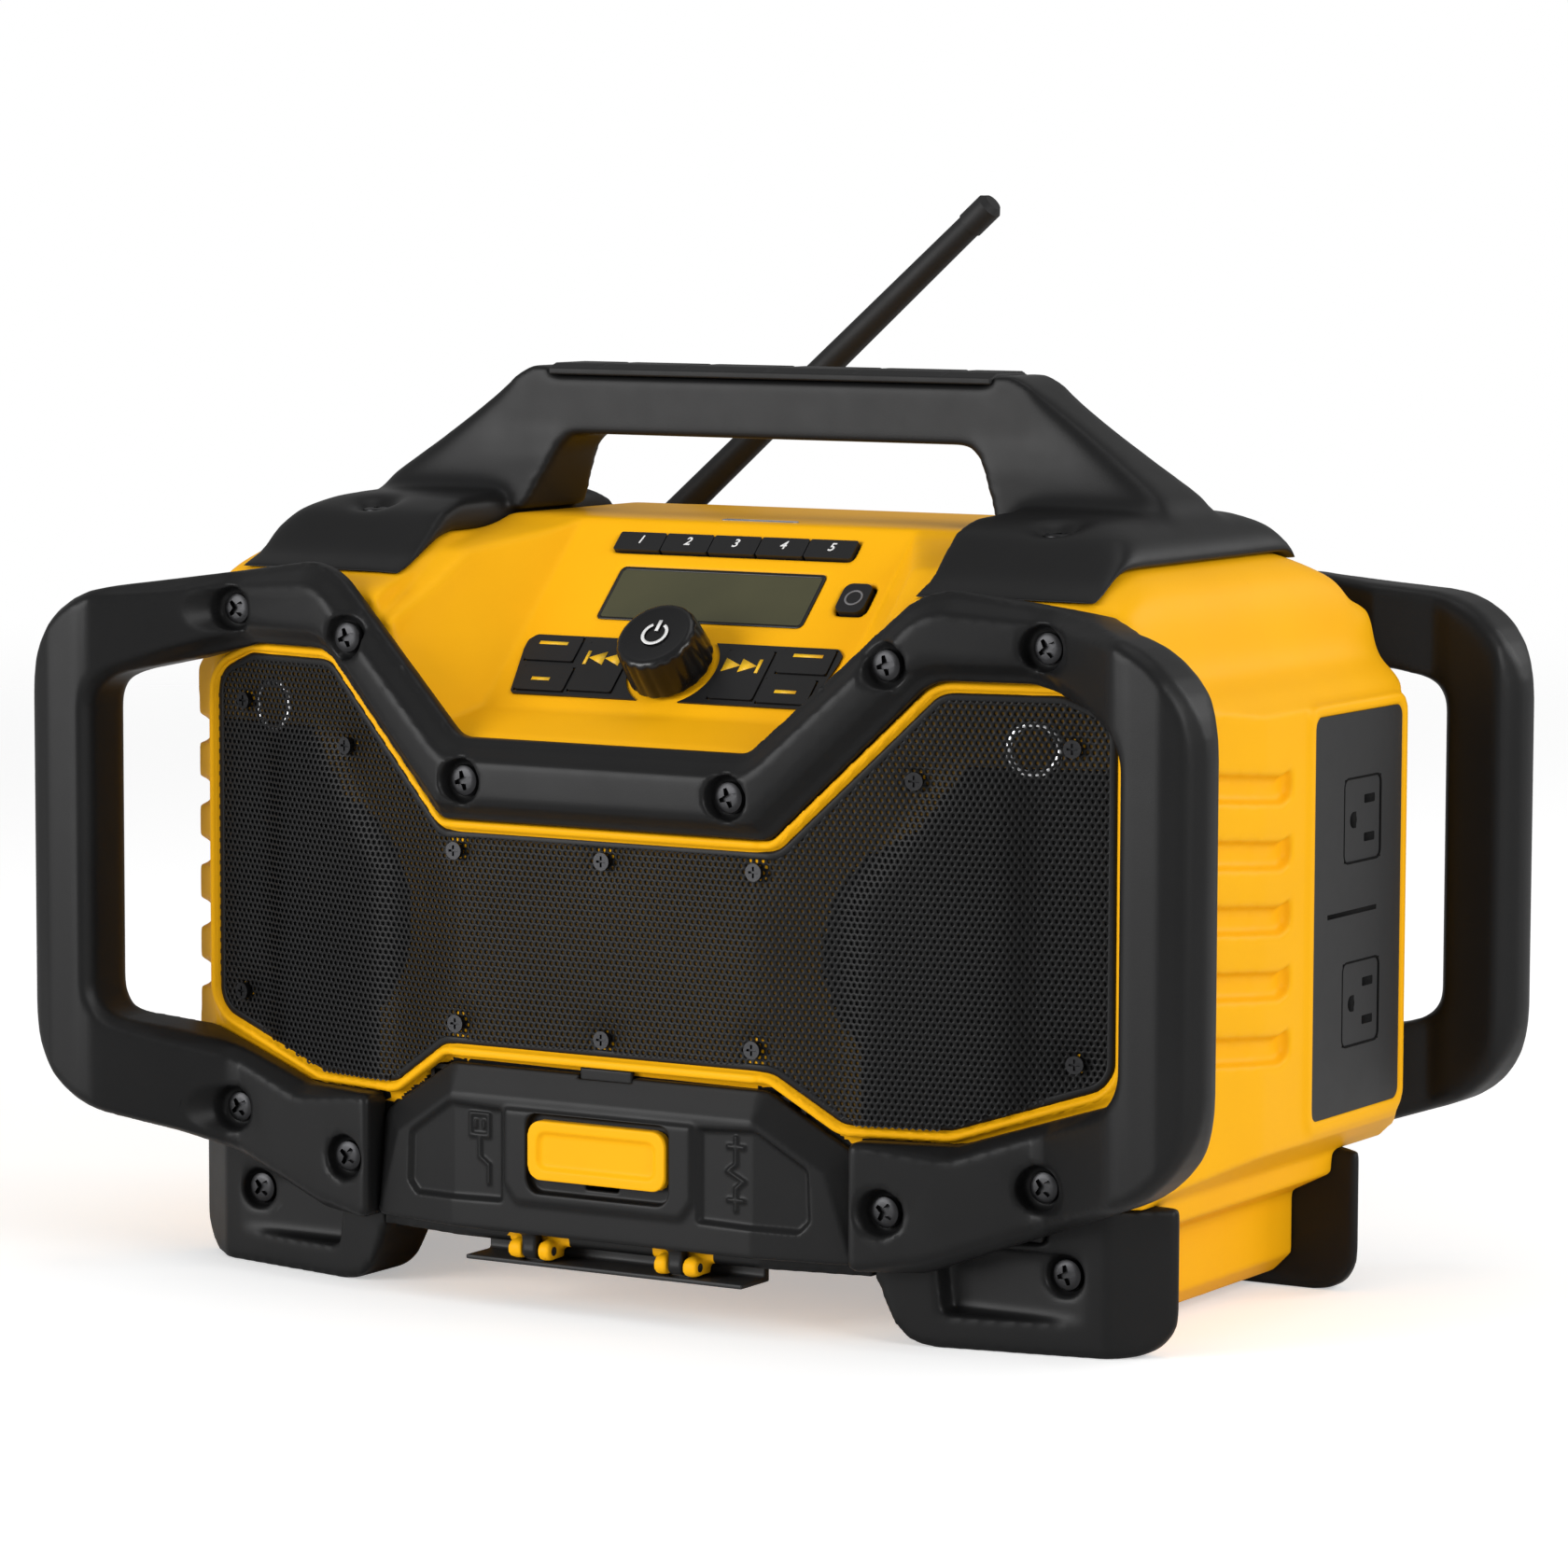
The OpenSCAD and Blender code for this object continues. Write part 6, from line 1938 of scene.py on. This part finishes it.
@dataclass(frozen=True)
class Outlets(Assembly):
    """The outlet panel's sockets: their dark outlines, and painted shade over their slots."""

    side: float = 192.5
    middle: Point2 = (48.8, 130.0)
    pitch: float = 60.7
    square: float = 27.0
    grows: Point2 = (1.5, 0.1)
    corner: float = 2.6
    line_root: float = -0.3
    line_rise: float = 0.78 * MM
    gap: float = 12.7
    slot: Point2 = (8.0, 2.9)
    slot_corner: float = 0.5
    slot_y: float = 5.7
    slot_root: float = 0.02
    slot_rise: float = 0.12 * MM
    earth: Point3 = (-6.3, 2.7, -4.4)
    earth_steps: int = 16
    rule: Path = ((23, 129.3), (60, 129.3), (60, 130.9), (23, 130.9))
    rule_root: float = 0.3
    rule_rise: float = 0.14 * MM

    def _spots(self, shape: Sequence[Point2], y: float, z: float, x: float) -> list[Vector]:
        """Returns a shape's points on the panel, moved to a place, from millimetres."""
        return [Vector((self.side + x, y + a, z + b)) * MM for a, b in shape]

    def build(self) -> None:
        """Draws the sockets' outlines, and paints the shade of their slots as dark patches a little
        wider than the slots.
        """
        lines, holes = bmesh.new(), bmesh.new()
        back, radius, front = self.earth
        turns = [math.radians(90 + 180 * i / self.earth_steps)
                 for i in range(self.earth_steps + 1)]
        earth = [(front, -radius), (front, radius),
                 *((back + radius * math.cos(t), radius * math.sin(t)) for t in turns)]
        slot = rounded_box(self.slot, self.slot_corner, 3)
        for k in (-1, 1):
            y, z = self.middle[0], self.middle[1] + k * self.pitch / 2
            add_ring(lines, *(self._spots(rounded_box((self.square + grow,) * 2,
                                                      self.corner + grow / 2),
                                          y, z, self.line_root) for grow in self.grows),
                     Vector((self.line_rise, 0, 0)))
            # painted shade: flat dark patches over both slots and the earth hole stand in for the
            # shade inside them
            for shape, y_move, z_move in ((slot, self.slot_y, -self.gap / 2),
                                          (slot, self.slot_y, self.gap / 2), (earth, 0, 0)):
                add_prism(holes, self._spots(shape, y + y_move, z + z_move, self.slot_root),
                          Vector((self.slot_rise, 0, 0)))
        add_prism(lines, self._spots(self.rule, 0, 0, self.rule_root),
                  Vector((self.rule_rise, 0, 0)))
        for name, mesh in (("outlet_lines", lines), ("outlet_slot_shade", holes)):
            self.lay(place_mesh(mesh, name), "dark_lines_and_slot_shade")


@dataclass(frozen=True)
class SoftNodes(Assembly):
    """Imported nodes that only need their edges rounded."""

    handle: Melt = Melt(1.2 * MM, 24, 0.3, 90)
    shoulder: tuple[Rise, Rise] = (Rise(100, 110), Rise(232, 244))
    feet: Melt = Melt(1.1 * MM, 16, 0.35)
    plain: Melt = Melt(0.6 * MM, 3, 0.4)
    plain_nodes: tuple[str, ...] = ("handle_rubber", "battery_door", "door_hinge_plate")
    pad_gap: float = 0.45 * MM

    def _zone(self, point: Vector) -> float:
        """Returns the weight of the extra smoothing: the upper side of the shoulders."""
        return self.shoulder[0].at(abs(point.x) / MM) * self.shoulder[1].at(point.z / MM)

    def build(self) -> None:
        """Softens the nodes."""
        for node, melt, zone in (("top_handle", self.handle, self._zone),
                                 ("feet", self.feet, None),
                                 *((node, self.plain, None) for node in self.plain_nodes)):
            piece = melt.soften(place_mesh(node_mesh(node), node + "_soft"), zone)
            if node == "handle_rubber":
                self._widen(piece)
            self.stand_in(piece, node)

    def _widen(self, piece: Piece) -> None:
        """Spreads the grip's pad sideways, so that it meets the handle all round.

        Args:
            piece: the pad.
        """
        low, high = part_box("handle_rubber")
        for vertex in piece.data.vertices:
            for k in (0, 1):
                middle = (low[k] + high[k]) / 2
                vertex.co[k] += math.copysign(self.pad_gap, vertex.co[k] - middle)


# ---------------------------------------------------------------- studio

@dataclass(frozen=True)
class Camera:
    """The camera in front of the radio, turned to its right.

    Args:
        place: where it stands.
        azimuth: its turn from straight ahead, in degrees.
        elevation: how far it looks down, in degrees.
        roll: its tilt to the side, in degrees.
        lens: focal length, in millimetres.
        sensor: width of the sensor, in millimetres.
        reach: how far it sees.
    """

    place: Point3 = (1.0369, -1.7404, 0.3739)
    azimuth: float = 30.77
    elevation: float = 5.88
    roll: float = 0.18
    lens: float = 138.42
    sensor: float = 36.0
    reach: float = 100.0

    def build(self) -> None:
        """Makes the camera and sets it as the scene's."""
        data = bpy.data.cameras.new("camera")
        data.lens = self.lens
        data.sensor_width = self.sensor
        data.clip_end = self.reach
        camera = bpy.data.objects.new("camera", data)
        turn, tilt, roll = (Matrix.Rotation(math.radians(angle), 4, axis) for angle, axis in
                            ((self.azimuth, "Z"), (90.0 - self.elevation, "X"),
                             (self.roll, "Z")))
        camera.matrix_world = Matrix.Translation(self.place) @ (turn @ tilt @ roll)
        bpy.context.scene.collection.objects.link(camera)
        bpy.context.scene.camera = camera


@dataclass(frozen=True)
class Lamp:
    """One soft round area lamp that looks at a point.

    Args:
        name: its name.
        place: where it hangs.
        size: its width.
        power: its power in watts.
        aim: the point that it looks at.
    """

    name: str
    place: Point3
    size: float
    power: float
    aim: Point3 = (0.0, 0.0, 0.15)

    def build(self) -> None:
        """Hangs the lamp."""
        data = bpy.data.lights.new(self.name, "AREA")
        data.shape = "DISK"
        data.size = self.size
        data.energy = self.power
        lamp = bpy.data.objects.new(self.name, data)
        lamp.location = self.place
        gaze = Vector(self.aim) - Vector(self.place)
        lamp.rotation_euler = gaze.to_track_quat("-Z", "Y").to_euler()
        bpy.context.scene.collection.objects.link(lamp)


@dataclass(frozen=True)
class Studio:
    """Pale floor, white surroundings and soft lamps."""

    ambient: float = 0.37
    white: tuple[float, float, float, float] = (1.0, 1.0, 1.0, 1.0)
    floor_color: float = 0.86
    floor_lift: float = 0.40
    floor_radius: float = 3.2
    floor_sides: int = 96
    fade: Point2 = (0.3, 0.95)
    lamps: tuple[Lamp, ...] = (Lamp("key", (-1.6, -2.7, 0.75), 2.0, 80.0),
                               Lamp("side", (2.6, -0.7, 1.2), 1.6, 40.0),
                               Lamp("top", (0.3, 0.1, 2.6), 1.6, 8.0),
                               Lamp("rear", (2.0, 2.4, 1.4), 1.6, 24.0))

    def build(self) -> None:
        """Sets the view, the world, the lamps and the floor."""
        bpy.context.scene.view_settings.view_transform = "Standard"
        self._world()
        for lamp in self.lamps:
            lamp.build()
        self._floor()

    @staticmethod
    def _clear(owner: bpy.types.ID) -> Nodes:
        """Empties the nodes of a world or a material.

        Args:
            owner: the world or material.

        Returns:
            Its nodes.
        """
        owner.use_nodes = True
        owner.node_tree.nodes.clear()
        return Nodes(owner.node_tree)

    def _world(self) -> None:
        """Makes the world white to the camera and plain to the lamps."""
        world = bpy.data.worlds.new("studio")
        bpy.context.scene.world = world
        nodes = self._clear(world)
        plain = nodes.add("Background", {"Color": self.white, "Strength": self.ambient})
        white = nodes.add("Background", {"Color": self.white})
        path = nodes.add("LightPath")
        shown = nodes.add("Math", operation="MAXIMUM")
        nodes.link(path, "Is Camera Ray", shown, 0)
        nodes.link(path, "Is Transmission Ray", shown, 1)
        mix = nodes.blend(shown, 0, plain, white)
        nodes.link(mix, 0, nodes.add("OutputWorld"), "Surface")

    def _floor(self) -> None:
        """Lays a round pale floor that fades into the white at its edge."""
        mesh = bmesh.new()
        bmesh.ops.create_circle(mesh, cap_ends=True, radius=self.floor_radius,
                                segments=self.floor_sides)
        floor = place_mesh(mesh, "floor")
        material = bpy.data.materials.new("floor")
        nodes = self._clear(material)
        matt = nodes.add("BsdfDiffuse", {"Color": (*(self.floor_color,) * 3, 1.0)})
        lift = nodes.add("Math", {1: self.floor_lift}, operation="MULTIPLY")
        nodes.link(nodes.add("LightPath"), "Is Camera Ray", lift, 0)
        glow = nodes.add("Emission")
        nodes.link(lift, 0, glow, "Strength")
        both = nodes.add("AddShader")
        nodes.link(matt, 0, both, 0)
        nodes.link(glow, 0, both, 1)
        reach = nodes.add("VectorMath", operation="LENGTH")
        nodes.link(nodes.add("TexCoord"), "Object", reach, 0)
        start, end = (share * self.floor_radius for share in self.fade)
        fade = nodes.add("MapRange", {"From Min": start, "From Max": end},
                         interpolation_type="SMOOTHSTEP")
        nodes.link(reach, "Value", fade, "Value")
        mix = nodes.blend(fade, "Result", both, nodes.add("BsdfTransparent"))
        nodes.link(mix, 0, nodes.add("OutputMaterial"), "Surface")
        floor.data.materials.append(material)


# ---------------------------------------------------------------- main

def main() -> None:
    """Builds the studio, then every sub-assembly in turn."""
    logging.basicConfig(level=logging.INFO, format="%(name)s: %(message)s")
    Camera().build()
    Studio().build()
    shop = Workshop(Finishes())
    shop.dress_nodes()
    panel = ControlPanel(shop)
    for assembly in (Housing(shop), Cage(shop), Grille(shop), StorageDoor(shop), panel,
                     Knob(shop, panel), Screws(shop), Outlets(shop), SoftNodes(shop)):
        assembly.build()


if __name__ == "__main__":
    main()
